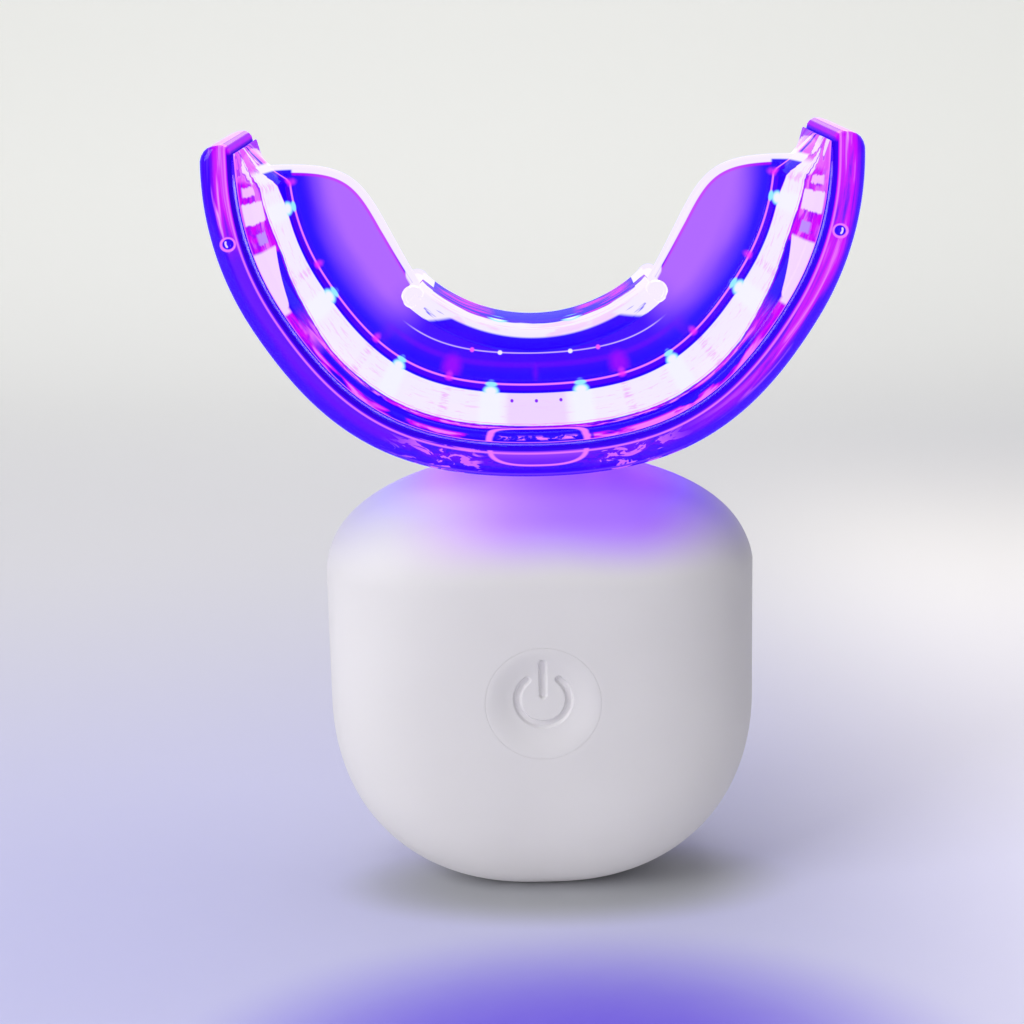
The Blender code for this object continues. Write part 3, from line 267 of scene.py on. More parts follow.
def dome_share(z, inset):
    rise = DOME_RISE - inset
    above = np.minimum(np.maximum(z, CREASE) - DOME_CENTRE, rise)
    return np.sqrt(1 - (above / rise) ** 2) / math.sqrt(1 - (DOME_DROP / rise) ** 2)


def half_width(z, inset=0.0):
    foot = foot_share(z, FOOT_WIDTH_START, FOOT_WIDTH_CUT, inset)
    return (HALF_WIDTH - inset) * dome_share(z, inset) * foot


def half_depth(z, inset=0.0):
    seat = SEAT_HALF_DEPTH - inset
    slope = (HALF_DEPTH - inset - seat) * dome_share(z, inset) ** SLOPE_POWER
    return (seat + slope) * foot_share(z, FOOT_DEPTH_START, FOOT_DEPTH_CUT, inset)


def depth_at(x, z, inset=0.0):
    """How deep the housing reaches from its middle plane at a place of its front view."""
    share = np.clip(np.abs(x) / np.maximum(half_width(z, inset), 1e-6), 0, 1)
    return half_depth(z, inset) * (1 - share**SECTION_POWER) ** (1 / SECTION_POWER)


class Rays:
    """Directions round a centre of the front view, for rings of the housing's skins."""

    def __init__(self, centre_z, turns=SHELL_TURNS):
        self.z0 = centre_z
        self.cos, self.sin = circle(turns)

    def place(self, radius):
        return radius * self.cos, self.z0 + radius * self.sin

    def reach(self, level, inset=0.0):
        """How far out the skin is as deep as a level, in each direction."""
        low, high = inset, DOME_TOP - (ROOF if inset > REBATE_SKIN else inset)
        near, far = np.zeros_like(self.cos), np.full_like(self.cos, 2 * HALF_WIDTH)
        for _ in range(HALVINGS):
            middle = (near + far) / 2
            x, z = self.place(middle)
            inside = (z > low) & (z < high) & (np.abs(x) < half_width(z, inset))
            inside &= depth_at(x, z, inset) > level
            near, far = np.where(inside, middle, near), np.where(inside, far, middle)
        return near

    def ring(self, radius, y):
        x, z = self.place(radius)
        return places(x, y, z)

    def rim(self, level, inset=0.0, y=None):
        """The ring where the skin is as deep as a level, which may be set at another depth."""
        return self.ring(self.reach(level, inset), level if y is None else y)

    def stadium(self, half_wide, half_tall, grow=0.0):
        """How far out the edge of a slot with round ends lies."""
        half_wide, half_tall = half_wide + grow, half_tall + grow
        straight = half_wide - half_tall
        flat = half_tall / np.maximum(np.abs(self.sin), 1e-9)
        cap = np.sqrt(np.maximum(half_tall**2 - (straight * self.sin) ** 2, 0))
        return np.where(flat * np.abs(self.cos) <= straight, flat, straight * np.abs(self.cos) + cap)

    def skin(self, start, inset, side, last_level, rings):
        """Rings along one skin from a start radius out to a level of depth, evenly spaced."""
        steep = self.reach(STEEP_LEVEL - inset, inset)
        tracks = []
        for share in np.linspace(0, 1, FACE_SAMPLES):
            radius = start + (steep - start) * share
            tracks.append(self.ring(radius, side * depth_at(*self.place(radius), inset)))
        for level in np.linspace(STEEP_LEVEL - inset, last_level, SIDE_SAMPLES)[1:]:
            tracks.append(self.rim(level, inset, side * level))
        tracks = np.array(tracks)
        steps = np.linalg.norm(np.diff(tracks, axis=0), axis=2)
        travel = np.vstack((np.zeros(steps.shape[1]), np.cumsum(steps, axis=0)))
        even = np.empty((rings, tracks.shape[1], 3))
        for k in range(tracks.shape[1]):
            wanted = np.linspace(0, travel[-1, k], rings)
            for axis in range(3):
                even[:, k, axis] = np.interp(wanted, travel[:, k], tracks[:, k, axis])
        return list(even)


def soft_lip(rays, radius, side, soft=SOFT_EDGE):
    """Rings that round a hole's edge over into the skin."""
    rings = []
    for out, down in LIP:
        reach = radius + out * soft
        rings.append(rays.ring(reach, side * (depth_at(*rays.place(reach)) - down * soft)))
    return rings


def seam_lip(rays, edge, side):
    """Rings that round a shell's edge over at the seam and lead in to its rebate."""
    reach = rays.reach(edge, 0.1)
    return [
        rays.ring(reach - 0.2 * SOFT_EDGE, edge + side * 0.3 * SOFT_EDGE),
        rays.ring(reach - SOFT_EDGE, edge),
        rays.rim(edge, REBATE_SKIN),
    ]


def neck_ring(grow, z):
    x, y = (
        half * np.sign(way) * np.abs(way) ** (2 / NECK_POWER)
        for half, way in zip((NECK_HALF_WIDTH + grow, NECK_HALF_DEPTH + grow), circle(96))
    )
    return places(x, y, z)


def finish_shell(name, rings):
    """Closes a shell's rings and cuts the neck's hole through its roof."""
    shell = ring_object(name, rings, wrap_rows=True)
    hole = [neck_ring(NECK_SLACK, z) for z in (DOME_TOP - 2 * ROOF, DOME_TOP + ROOF)]
    return combine(shell, ring_object("neck_hole", hole), "DIFFERENCE")


def make_front_shell():
    rays = Rays(BUTTON_Z)
    hole = BUTTON_RADIUS + BUTTON_SLIT
    edge = SEAM_Y - SEAM_SLIT
    rings = soft_lip(rays, hole, -1, HAIR_EDGE)
    rings += rays.skin(hole + HAIR_EDGE, 0.0, -1, 0.0, SHELL_RINGS)
    rings += [rays.rim(level) for level in (*FRONT_LEVELS, edge - 2 * SOFT_EDGE, edge - SOFT_EDGE)]
    rings += seam_lip(rays, edge, -1)
    rings += [rays.rim(edge, REBATE_SKIN, REBATE_DEPTH), rays.rim(REBATE_DEPTH, WALL)]
    rings.append(rays.rim(INNER_LEVEL, WALL))
    rings += rays.skin(hole, WALL, -1, 0.0, INNER_RINGS)[::-1]
    return finish_shell("front_housing_shell", rings)


def make_rear_shell():
    rays = Rays(PORT_Z)
    recess = rays.stadium(*COVER_FORM, BUTTON_SLIT)
    mouth = rays.stadium(*MOUTH_FORM)
    floor, edge, far = HALF_DEPTH - RECESS_DEPTH, SEAM_Y + SEAM_SLIT, 2 * SEAM_Y - REBATE_DEPTH
    rings = [rays.ring(mouth, HALF_DEPTH - WALL), rays.ring(mouth, floor), rays.ring(recess, floor)]
    rings += soft_lip(rays, recess, 1)
    rings += rays.skin(recess + SOFT_EDGE, 0.0, 1, edge + 2 * SOFT_EDGE, SHELL_RINGS)
    rings.append(rays.rim(edge + SOFT_EDGE))
    rings += seam_lip(rays, edge, 1)
    rings += [rays.rim(far, REBATE_SKIN), rays.rim(far, WALL)]
    rings += rays.skin(mouth, WALL, 1, far + 0.3, INNER_RINGS)[::-1]
    return finish_shell("rear_housing_shell", rings)


def smooth_step(value):
    value = np.clip(value, 0, 1)
    return value * value * (3 - 2 * value)


def icon_distance(x, z):
    """How far a place of the button's face lies from the symbol's centre lines."""
    end_x, end_z = ICON_RADIUS * math.sin(ICON_GAP), ICON_RADIUS * math.cos(ICON_GAP)
    ring = np.where(
        np.abs(np.arctan2(x, z)) > ICON_GAP,
        np.abs(np.hypot(x, z) - ICON_RADIUS),
        np.hypot(np.abs(x) - end_x, z - end_z),
    )
    return np.minimum(ring, np.hypot(x, z - np.clip(z, *ICON_BAR)))


def make_button():
    """A dished face with the symbol in it, and the flange and stem behind."""
    rays = Rays(BUTTON_Z)
    rings = []
    face_edge = BUTTON_RADIUS - HAIR_EDGE
    for radius in (*np.linspace(0.02, 4.2, 82), *np.linspace(4.2, face_edge, 14)[1:]):
        x, z = rays.place(radius)
        dish = DISH_DEPTH * smooth_step((DISH_RADIUS - radius) / (DISH_RADIUS - DISH_FLAT))
        lines = icon_distance(x, z - BUTTON_Z - ICON_LIFT)
        groove = ICON_DEPTH * smooth_step((ICON_HALF_STROKE + ICON_SOFT - lines) / ICON_FLANK)
        rings.append(rays.ring(radius, dish + groove - depth_at(x, z)))
    for back, down in LIP[::-1]:
        radius = BUTTON_RADIUS - back * HAIR_EDGE
        rings.append(rays.ring(radius, down * HAIR_EDGE - depth_at(*rays.place(radius))))
    flange = WALL + FLANGE_GAP - HALF_DEPTH
    for radius, y in (
        (BUTTON_RADIUS, flange),
        (BUTTON_FLANGE, flange),
        (BUTTON_FLANGE, flange + FLANGE_THICK),
        (STEM_RADIUS, flange + FLANGE_THICK),
        (STEM_RADIUS, BUTTON_HIGH[1]),
        (0.4, BUTTON_HIGH[1]),
    ):
        rings.append(rays.ring(radius, y))
    return ring_object("dished_button", rings)


def make_cover():
    """The soft cover: a plate that fills the recess, and the hollow plug behind it."""
    rays = Rays(PORT_Z, 160)
    outline, plug, slot = (rays.stadium(*form) for form in (COVER_FORM, PLUG_FORM, SLOT_FORM))
    rings = []
    for share in np.linspace(0.02, 1, 26):
        radius = (outline - SOFT_EDGE) * share
        x, z = rays.place(radius)
        pull = (x / PULL_HALF_WIDTH) ** 2 + ((z - PORT_Z + PULL_DROP) / PULL_HALF_HEIGHT) ** 2
        rings.append(rays.ring(radius, depth_at(x, z) - COVER_INSET - PULL_DEPTH * np.exp(-(pull**2))))
    for back, down in ((0.4, 0.15), (0.1, 0.45), (0.0, 1.0)):
        radius = outline - back * SOFT_EDGE
        rings.append(rays.ring(radius, depth_at(*rays.place(radius)) - COVER_INSET - down * SOFT_EDGE))
    back = HALF_DEPTH - COVER_BACK
    end = back - PLUG_LENGTH
    for radius, y in (
        (outline, back), (plug, back), (plug, end + 0.2), (plug - 0.12, end),
        (slot, end), (slot, back - 0.1), (slot * 0.1, back - 0.1),
    ):
        rings.append(rays.ring(radius, y))
    return ring_object("port_cover_soft", rings)


# Arch


def arch_point(angle):
    """Places (x, z) of the arch's outer line: an ellipse that swells between bottom and arms."""
    wave = np.sin(math.pi * np.minimum(np.abs(angle) / SWELL_ANGLE, 1))
    reach = 1 + SWELL_SHARE * wave**2
    return ARCH_HALF_WIDTH * reach * np.sin(angle), ARCH_CENTRE - ARCH_DEPTH * reach * np.cos(angle)


def arch_way(angle):
    """The way (x, z) inward from the outer line."""
    ahead, behind = arch_point(angle + LINE_STEP), arch_point(angle - LINE_STEP)
    x, z = ahead[0] - behind[0], ahead[1] - behind[1]
    length = np.hypot(x, z)
    return -z / length, x / length


def arch_line(top, bends=BENDS):
    """Stations of the arch's outer line: x, z and the way inward, from tip to tip."""
    bend = math.acos(min(max((ARCH_CENTRE - top) / ARCH_DEPTH, 0), 1))
    angles = np.linspace(-bend, bend, bends + 1)
    line = np.column_stack((*arch_point(angles), *arch_way(angles)))
    if top > ARCH_CENTRE:
        lifts = (top - ARCH_CENTRE) * np.sin(np.linspace(0, math.pi / 2, RISERS + 1)[1:])
        right = np.array([(ARCH_HALF_WIDTH, ARCH_CENTRE + lift, -1.0, 0.0) for lift in lifts])
        line = np.vstack((right[::-1] * (-1, 1, -1, 1), line, right))
    return line


def sweep(name, line, outline_at, sharp=40):
    """A body along stations, whose outline of (inward, y) points may change with height."""
    rings = []
    for x, z, way_x, way_z in line:
        outline = outline_at(z)
        rings.append(places(x + way_x * outline[:, 0], outline[:, 1], z + way_z * outline[:, 0]))
    return ring_object(name, rings, sharp=sharp)


def fade(z, stop):
    """1 along the arms, falling to 0 at a stop below their tops."""
    return float(smooth_step(np.array((ARM_TOP - stop - z) / FADE_RUN + 0.5)))


def tip_inset(z, radius):
    """How much a section shrinks to round the arm's end over."""
    near_top = min(max(z - ARM_TOP + radius, 0), radius)
    return radius - math.sqrt(radius**2 - near_top**2)


def band_outline(z):
    back = tip_inset(z, BAND_TIP_RADIUS)
    e = tip_inset(z, 0.4)
    low, high, half = back + e, BAND_RIM - tip_inset(z, 1.0), BAND_HALF_HEIGHT - e
    floor = high - (BAND_RIM - BAND_WALL) * fade(z, BAND_POCKET_STOP)
    corners = [
        (low, half), (low, -half), (high, -half), (high, -POCKET_HALF),
        (floor, -POCKET_HALF), (floor, POCKET_HALF), (high, POCKET_HALF), (high, half),
    ]
    return fillet(corners, BAND_EDGES)


def neck_body():
    top, flange_top = DOME_TOP + NECK_RISE, DOME_TOP - ROOF - FLANGE_DROP
    flange = flange_top - FLANGE_HEIGHT
    profile = (
        (0, flange - 1), (0, flange), (FLANGE_REACH, flange),
        (FLANGE_REACH, flange_top), (0, flange_top), (0, top),
    )
    return ring_object("neck", [neck_ring(grow, z) for grow, z in profile])


def dimple_tool(side, face):
    """A small bowl-ended pin that leaves a dimple in the band's rim."""
    angle = side * DIMPLE_ANGLE
    x, z = np.array(arch_point(angle)) + np.array(arch_way(angle)) * DIMPLE_INSET
    cos, sin = circle(24)
    rings = []
    for share in np.linspace(0.1, 1, 7):
        depth = DIMPLE_DEPTH * math.sqrt(1 - min(share, 0.995) ** 2)
        radius = DIMPLE_RADIUS * share
        rings.append(places(x + radius * cos, face * (BAND_HALF_HEIGHT - depth), z + radius * sin))
    last = rings[-1].copy()
    last[:, 1] = face * (BAND_HALF_HEIGHT + 1)
    return ring_object("dimple", rings + [last])


def make_band():
    band = sweep("clear_outer_band", arch_line(ARM_TOP), band_outline)
    combine(band, neck_body(), "UNION")
    bore = [neck_ring(-NECK_WALL, z) for z in (DOME_TOP - 8, DOME_TOP + 3)]
    combine(band, ring_object("bore", bore), "DIFFERENCE")
    for side in (-1, 1):
        for face in (-1, 1):
            combine(band, dimple_tool(side, face), "DIFFERENCE")
    return band


def slimness(z):
    """How thick the tray still is near the arms' tops, as a share."""
    return 1 - SLIM_SHARE * np.clip((z - ARM_TOP + TRAY_DROP + SLIM_RUN) / SLIM_RUN, 0, 1)


def tray_outline(z):
    keep = 1 - TAPER_SHARE * min(max(z - ARM_TOP + TRAY_TAPER, 0) / TRAY_TAPER, 1)
    slim = float(slimness(z))
    e = tip_inset(z + TRAY_DROP, 0.3)
    rim, face, root = TRAY_RIM * slim, TRAY_FACE * slim, TRAY_ROOT * slim
    deep = TRAY_DEEP * fade(z, TRAY_POCKET_STOP) * keep
    half = TRAY_HALF - e
    upper = [
        (TRAY_BACK + root, WEB_HALF),
        (TRAY_BACK + face, ROOT_HALF),
        (TRAY_BACK + rim, half),
        (TRAY_BACK, half),
        (TRAY_BACK, POCKET_HALF),
        (TRAY_BACK + deep, POCKET_MID),
    ]
    radii = (0.2, 0.6, 0.5 * slim, 0.3 * slim, 0.1, 0.2)
    return fillet(upper + [(n, -y) for n, y in reversed(upper)], radii + radii[::-1])


def lobe_edge(shares):
    """The right lobe's free edge from the inner wall to the arm, and the way out of the plate."""
    start = np.array((LINGUAL_SPAN, LINGUAL_END))
    end = np.array((LOBE_X, ARCH_CENTRE - LOBE_DROP))
    first = start + LOBE_SIDE_PULL * np.array((math.cos(LOBE_SLANT), math.sin(LOBE_SLANT)))
    second = end - np.array((LOBE_TOP_PULL, 0))
    s = np.asarray(shares, float)[:, None]
    r = 1 - s
    points = start * r**3 + 3 * r * s * (first * r + second * s) + end * s**3
    turn = (first - start) * r**2 + (second - first) * 2 * r * s + (end - second) * s**2
    out = np.stack((-turn[:, 1], turn[:, 0]), axis=1)
    return points, out / np.linalg.norm(out, axis=1)[:, None]


def bead(side):
    points, out = lobe_edge(np.linspace(0, 1, 49))
    points = np.vstack((points, points[-1] + (BEAD_TAIL, 0)))
    out = np.vstack((out, out[-1]))
    cos, sin = circle(20)
    rings = []
    for (x, z), (out_x, out_z) in zip(points, out):
        reach = BEAD_RADIUS * cos
        rings.append(places(side * (x + out_x * reach), BEAD_RADIUS * sin, z + out_z * reach))
    return ring_object("bead", rings)


def inner_outline():
    """The plate's inner edge: the left lobe, the arc of the short wall and the right lobe."""
    right = lobe_edge(np.linspace(0, 1, 161))[0]
    angles = np.linspace(-LINGUAL_BEND, LINGUAL_BEND, 81)[1:-1]
    x, z = LINGUAL_RADIUS * np.sin(angles), ARCH_CENTRE - LINGUAL_RADIUS * np.cos(angles)
    arc = np.stack((x, z), axis=1)
    return np.vstack((right[::-1] * (-1, 1), arc, right))


def web_plate():
    """A flat plate with a fine grid, its rows facing each other across from one high spot."""
    line = arch_line(ARCH_CENTRE - LOBE_DROP, 220)
    reach = TRAY_BACK + WEB_IN_TRAY * slimness(line[:, 1])
    outer = line[:, :2] + line[:, 2:] * reach[:, None]
    inner = inner_outline()
    turn = [np.arctan2(points[:, 0], WEB_SPOT - points[:, 1]) for points in (inner, outer)]
    wanted = np.clip(turn[1], turn[0][0], turn[0][-1])
    matched = np.stack([np.interp(wanted, turn[0], inner[:, axis]) for axis in (0, 1)], axis=1)
    shares = np.linspace(0, 1, WEB_COLUMNS)[:, None, None] ** WEB_CROWDING
    sheet = matched * (1 - shares) + outer * shares
    rings = []
    for row in np.swapaxes(sheet, 0, 1):
        front = np.insert(row, 1, -WEB_HALF, axis=1)
        back = np.insert(row[::-1], 1, WEB_HALF, axis=1)
        rings.append(np.vstack((front, back)))
    return ring_object("web", rings)


def lingual_wall():
    half, thick = LINGUAL_HALF, LINGUAL_THICK
    outline = fillet([(0, half), (0, -half), (thick, -half), (thick, half)], [0.8] * 4)
    rings = []
    for angle in np.linspace(-LINGUAL_BEND, LINGUAL_BEND, 81):
        radius = LINGUAL_RADIUS + thick / 2 - outline[:, 0]
        x, z = radius * math.sin(angle), ARCH_CENTRE - radius * math.cos(angle)
        rings.append(places(x, outline[:, 1], z))
    return ring_object("lingual_wall", rings)


def post(side):
    """A round knob at one end of the short wall."""
    x, z = side * LINGUAL_RADIUS * math.sin(LINGUAL_BEND), LINGUAL_END
    cos, sin = circle(40)
    rings = []
    for end in (-1, 1):
        for angle in np.linspace(0, math.pi / 2, 6)[::-end]:
            radius = KNOB_RADIUS - KNOB_SOFT * (1 - math.cos(angle))
            y = end * (LINGUAL_HALF - KNOB_SOFT * (1 - math.sin(angle)))
            rings.append(places(x + radius * cos, y, z + radius * sin))
    return ring_object("post", rings)


def make_tray():
    tray = sweep("clear_bite_tray", arch_line(ARM_TOP - TRAY_DROP), tray_outline)
    for tool in (web_plate(), bead(-1), bead(1), lingual_wall(), post(-1), post(1)):
        combine(tray, tool, "UNION")
    return tray


def arch_fields(points):
    """Where points lie on the arch: their angle in degrees, how far inward, and the way inward."""
    x, z = np.abs(points[:, 0]), np.minimum(points[:, 2], ARCH_CENTRE)
    low, high = np.zeros(len(x)), np.full(len(x), math.pi / 2)
    for _ in range(FIELD_HALVINGS):
        angle = (low + high) / 2
        line_x, line_z = arch_point(angle)
        way_x, way_z = arch_way(angle)
        ahead = (x - line_x) * way_z - (z - line_z) * way_x > 0
        low, high = np.where(ahead, angle, low), np.where(ahead, high, angle)
    inward = (x - line_x) * way_x + (z - line_z) * way_z
    lift = np.degrees((points[:, 2] - z) / ARCH_HALF_WIDTH)
    side = np.sign(points[:, 0])
    return side * (np.degrees(angle) + lift), inward, side * way_x, way_z


def mark(obj):
    """Keeps on each vertex where it lies on the arch, for the materials to read."""
    mesh = obj.data
    points, normals = of_vertices(mesh, "co") / MM, of_vertices(mesh, "normal")
    along, inward, way_x, way_z = arch_fields(points)
    edge, out = lobe_edge(np.linspace(0, 1, 300))
    flat = np.stack((np.abs(points[:, 0]), points[:, 2]), axis=1)
    free = np.full(len(points), ARCH_DEPTH)
    for spot in edge + out * BEAD_LINE:
        free = np.minimum(free, np.hypot(*(flat - spot).T))
    fields = {
        "along": along,
        "inward": inward,
        "across": points[:, 1],
        "sideways": points[:, 0],
        "free_edge": free,
        "tongue": np.hypot(points[:, 0], points[:, 2] - ARCH_CENTRE),
        "facing": normals[:, 0] * way_x + normals[:, 2] * way_z,
    }
    for name, values in fields.items():
        layer = mesh.attributes.new(name, "FLOAT", "POINT")
        layer.data.foreach_set("value", values.astype(np.float32))
    return obj


# Strip and lights


def window_back(y):
    """How far inward the slanted back of the tray's window lies at a height across it."""
    deep = TRAY_BACK + TRAY_DEEP
    down = np.maximum(np.abs(y) - POCKET_MID, 0) / (POCKET_HALF - POCKET_MID)
    return deep + (TRAY_BACK - deep) * down


def behind_window(y, distance):
    return window_back(y) - distance / math.cos(WINDOW_SLANT)


def make_strip():
    front = STAND_OFF + LIGHT_SIZE[2] + STRIP_GAP
    ys = np.concatenate(([POCKET_MID], np.linspace(1, STRIP_HALF, 15)))
    near = np.stack((behind_window(ys, front), ys), axis=1)
    far = np.stack((behind_window(ys, front + STRIP_THICK), ys), axis=1)
    outline = np.vstack((near, far[::-1], far * (1, -1), near[::-1] * (1, -1)))
    strip = sweep("light_strip", arch_line(ARM_TOP - STRIP_STOP), lambda z: outline, sharp=30)
    seat = ARCH_CENTRE - ARCH_DEPTH + float(behind_window(TAIL_Y, front)) - TAIL_SEAT
    x = np.array((-1, 1, 1, -1)) * TAIL_HALF_WIDTH
    y = TAIL_Y + np.array((-1, -1, 1, 1)) * STRIP_THICK / 2
    tail = [places(x, y, z) for z in (span("led_flex_strip")[0][2], seat)]
    return combine(strip, ring_object("tail", tail), "UNION")


def light_spots(first):
    one_side = [first + LIGHT_PITCH * k for k in range(LIGHTS_PER_ARM)]
    return [-angle for angle in one_side[::-1]] + one_side


def strip_place(angle, row):
    """A place behind the window, with the ways along the arch, down the slant and out of it."""
    side = math.copysign(1, row)
    (x, z), (way_x, way_z) = (find(math.radians(angle)) for find in (arch_point, arch_way))
    point, inward = Vector((x, 0, z)), Vector((way_x, 0, way_z))
    down = Vector((0, side * math.cos(WINDOW_SLANT), 0)) - inward * math.sin(WINDOW_SLANT)
    facing = inward * math.cos(WINDOW_SLANT) + Vector((0, side * math.sin(WINDOW_SLANT), 0))
    along = down.cross(facing)
    return point + inward * float(window_back(row)) + Vector((0, row, 0)), along, down, facing


def light_rings(seat, along, down, facing):
    """A square package with soft corners and a round lens on its face."""
    length, width, thick = LIGHT_SIZE
    c, s = circle(48)
    square = np.minimum(1 / np.maximum(np.abs(c), 1e-9), 1 / np.maximum(np.abs(s), 1e-9))
    square = np.minimum(square, 1.3)
    base = seat - facing * (STAND_OFF + thick)
    rings = [
        (square * grow * length / 2 * c, square * grow * width / 2 * s, lift * thick)
        for grow, lift in PACKAGE_STEPS
    ]
    rings += [(radius * c, radius * s, lift * thick) for radius, lift in LENS_STEPS]
    return np.array([
        [tuple(base + along * float(u) + down * float(v) + facing * lift) for u, v in zip(a, b)]
        for a, b, lift in rings
    ])


def make_lights(name, first, row, rail_way, side):
    near = STAND_OFF + LIGHT_SIZE[2] - RAIL_SINK
    middle = row - (STAND_OFF + LIGHT_SIZE[2]) * math.sin(WINDOW_SLANT)
    edge = middle + rail_way * (LIGHT_SIZE[1] / 2 * math.cos(WINDOW_SLANT) - RAIL_THICK)
    inner, outer = sorted((edge, edge + rail_way * RAIL_HEIGHT))
    ys = np.array((inner, outer, outer, inner))
    gaps = near + np.array((0, 0, 1, 1)) * RAIL_THICK
    outline = np.stack([[float(behind_window(y, gap)) for y, gap in zip(ys, gaps)], side * ys], axis=1)
    line = arch_line(ARM_TOP - STRIP_STOP - RAIL_STOP, RAIL_BENDS)
    lights = sweep(name, line, lambda z: outline, sharp=30)
    for angle in light_spots(first):
        rings = light_rings(*strip_place(angle, side * row))
        combine(lights, ring_object("package", rings), "UNION")
    return lights


# Materials


class Value:
    """What a material's nodes work out at each place. Sums are written as for plain numbers."""

    def __init__(self, paint, socket):
        self.paint, self.socket = paint, socket

    def __add__(self, other):
        return self.paint.math("ADD", self, other)

    def __sub__(self, other):
        return self.paint.math("SUBTRACT", self, other)

    def __rsub__(self, other):
        return self.paint.math("SUBTRACT", other, self)

    def __mul__(self, other):
        return self.paint.math("MULTIPLY", self, other)

    def __truediv__(self, number):
        return self * (1 / number)

    def __mod__(self, number):
        return self.paint.math("MODULO", self, number)

    def __abs__(self):
        return self.paint.math("ABSOLUTE", self)

    def power(self, number):
        return self.paint.math("POWER", self, number)

    def spread(self, low, high, to_low, to_high, curve="LINEAR"):
        """A number that runs from one to another while this one passes a range."""
        names = ("Value", "From Min", "From Max", "To Min", "To Max")
        inputs = zip(names, (self, low, high, to_low, to_high))
        return self.paint.node("ShaderNodeMapRange", inputs, interpolation_type=curve)

    def rise(self, low, high):
        """0 below low, 1 above high, and soft between; falls instead where low is the larger."""
        ends = (low, high, 0.0, 1.0) if low < high else (high, low, 1.0, 0.0)
        return self.spread(*ends, "SMOOTHSTEP")

    def stripe(self, low, high, soft):
        """1 between low and high, with soft flanks."""
        return self.rise(low - soft, low + soft) * self.rise(high + soft, high - soft)


class Paint:
    """Builds one material's nodes from short calls."""

    def __init__(self, name):
        self.material = bpy.data.materials.new(name)
        self.material.use_nodes = True
        self.tree = self.material.node_tree
        self.shader = self.tree.nodes["Principled BSDF"]

    def feed(self, socket, value):
        if isinstance(value, Value):
            self.tree.links.new(value.socket, socket)
        elif socket.type == "RGBA":
            socket.default_value = (*value, 1.0)
        else:
            socket.default_value = value

    def node(self, kind, inputs=(), output=0, **settings):
        """Adds a node, feeds its inputs by name or number, and gives one of its outputs."""
        made = self.tree.nodes.new(kind)
        for key, value in settings.items():
            setattr(made, key, value)
        for key, value in dict(inputs).items():
            self.feed(made.inputs[key], value)
        return Value(self, made.outputs[output])

    def math(self, operation, *values):
        return self.node("ShaderNodeMath", enumerate(values), operation=operation)

    def fields(self, *names):
        """What mark() kept on the vertices."""
        return [self.node("ShaderNodeAttribute", output="Fac", attribute_name=name) for name in names]

    def place(self):
        return self.node("ShaderNodeTexCoord", output="Object")

    def millimetres(self):
        place = self.place()
        return [self.node("ShaderNodeSeparateXYZ", {0: place}, axis) / MM for axis in range(3)]

    def noise(self, vector, scale, detail=2.0, rough=0.5, distort=0.0):
        names = ("Vector", "Scale", "Detail", "Roughness", "Distortion")
        return self.node("ShaderNodeTexNoise", zip(names, (vector, scale, detail, rough, distort)))

    def cloud(self, ways, detail, rough=0.5, distort=0.0):
        """Noise over up to three values, stretched by their factors."""
        return self.noise(self.node("ShaderNodeCombineXYZ", enumerate(ways)), 1.0, detail, rough, distort)

    def mix(self, first, second, share):
        inputs = {"Factor": share, 6: first, 7: second}
        return self.node("ShaderNodeMix", inputs, 2, data_type="RGBA", clamp_factor=True)

    def layers(self, ground, *coats):
        """Coats of (colour, share) painted over a ground, one after the other."""
        for coat, share in coats:
            ground = self.mix(ground, coat, share)
        return ground

    def bump(self, height, strength, depth):
        inputs = {"Strength": strength, "Distance": depth * MM, "Height": height}
        self.feed(self.shader.inputs["Normal"], self.node("ShaderNodeBump", inputs))

    def set(self, **values):
        names = {
            "colour": "Base Color",
            "rough": "Roughness",
            "metal": "Metallic",
            "through": "Transmission Weight",
            "ior": "IOR",
            "glow": "Emission Color",
            "power": "Emission Strength",
            "specular": "Specular IOR Level",
        }
        for key, value in values.items():
            self.feed(self.shader.inputs[names[key]], value)
        return self.material


def length(first, second):
    """The length of a step given by two values."""
    return first.paint.math("SQRT", first * first + second * second)


def bulge(first, first_half, second, second_half, power):
    """1 on the edge of a rounded box about zero, less inside it."""
    terms = [(abs(first) / first_half).power(power), (abs(second) / second_half).power(power)]
    return (terms[0] + terms[1]).power(1 / power)


def grained(name, colour, rough, grain=900.0, metal=0.0, spread=0.05, depth=0.01):
    """A moulded or coated surface: slight colour drift, fine grain in roughness and relief."""
    paint = Paint(name)
    place = paint.place()
    drift, fine = paint.noise(place, 60.0, 3.0), paint.noise(place, grain, 4.0, 0.6)
    darker = [channel * (1 - spread) for channel in colour]
    lighter = [min(channel * (1 + spread / 2), 1.0) for channel in colour]
    paint.bump(fine, 0.2, depth)
    return paint.set(
        colour=paint.mix(darker, lighter, drift.rise(0.3, 0.7)),
        rough=fine.spread(0.3, 0.7, rough - 0.05, rough + 0.05),
        metal=metal,
    )


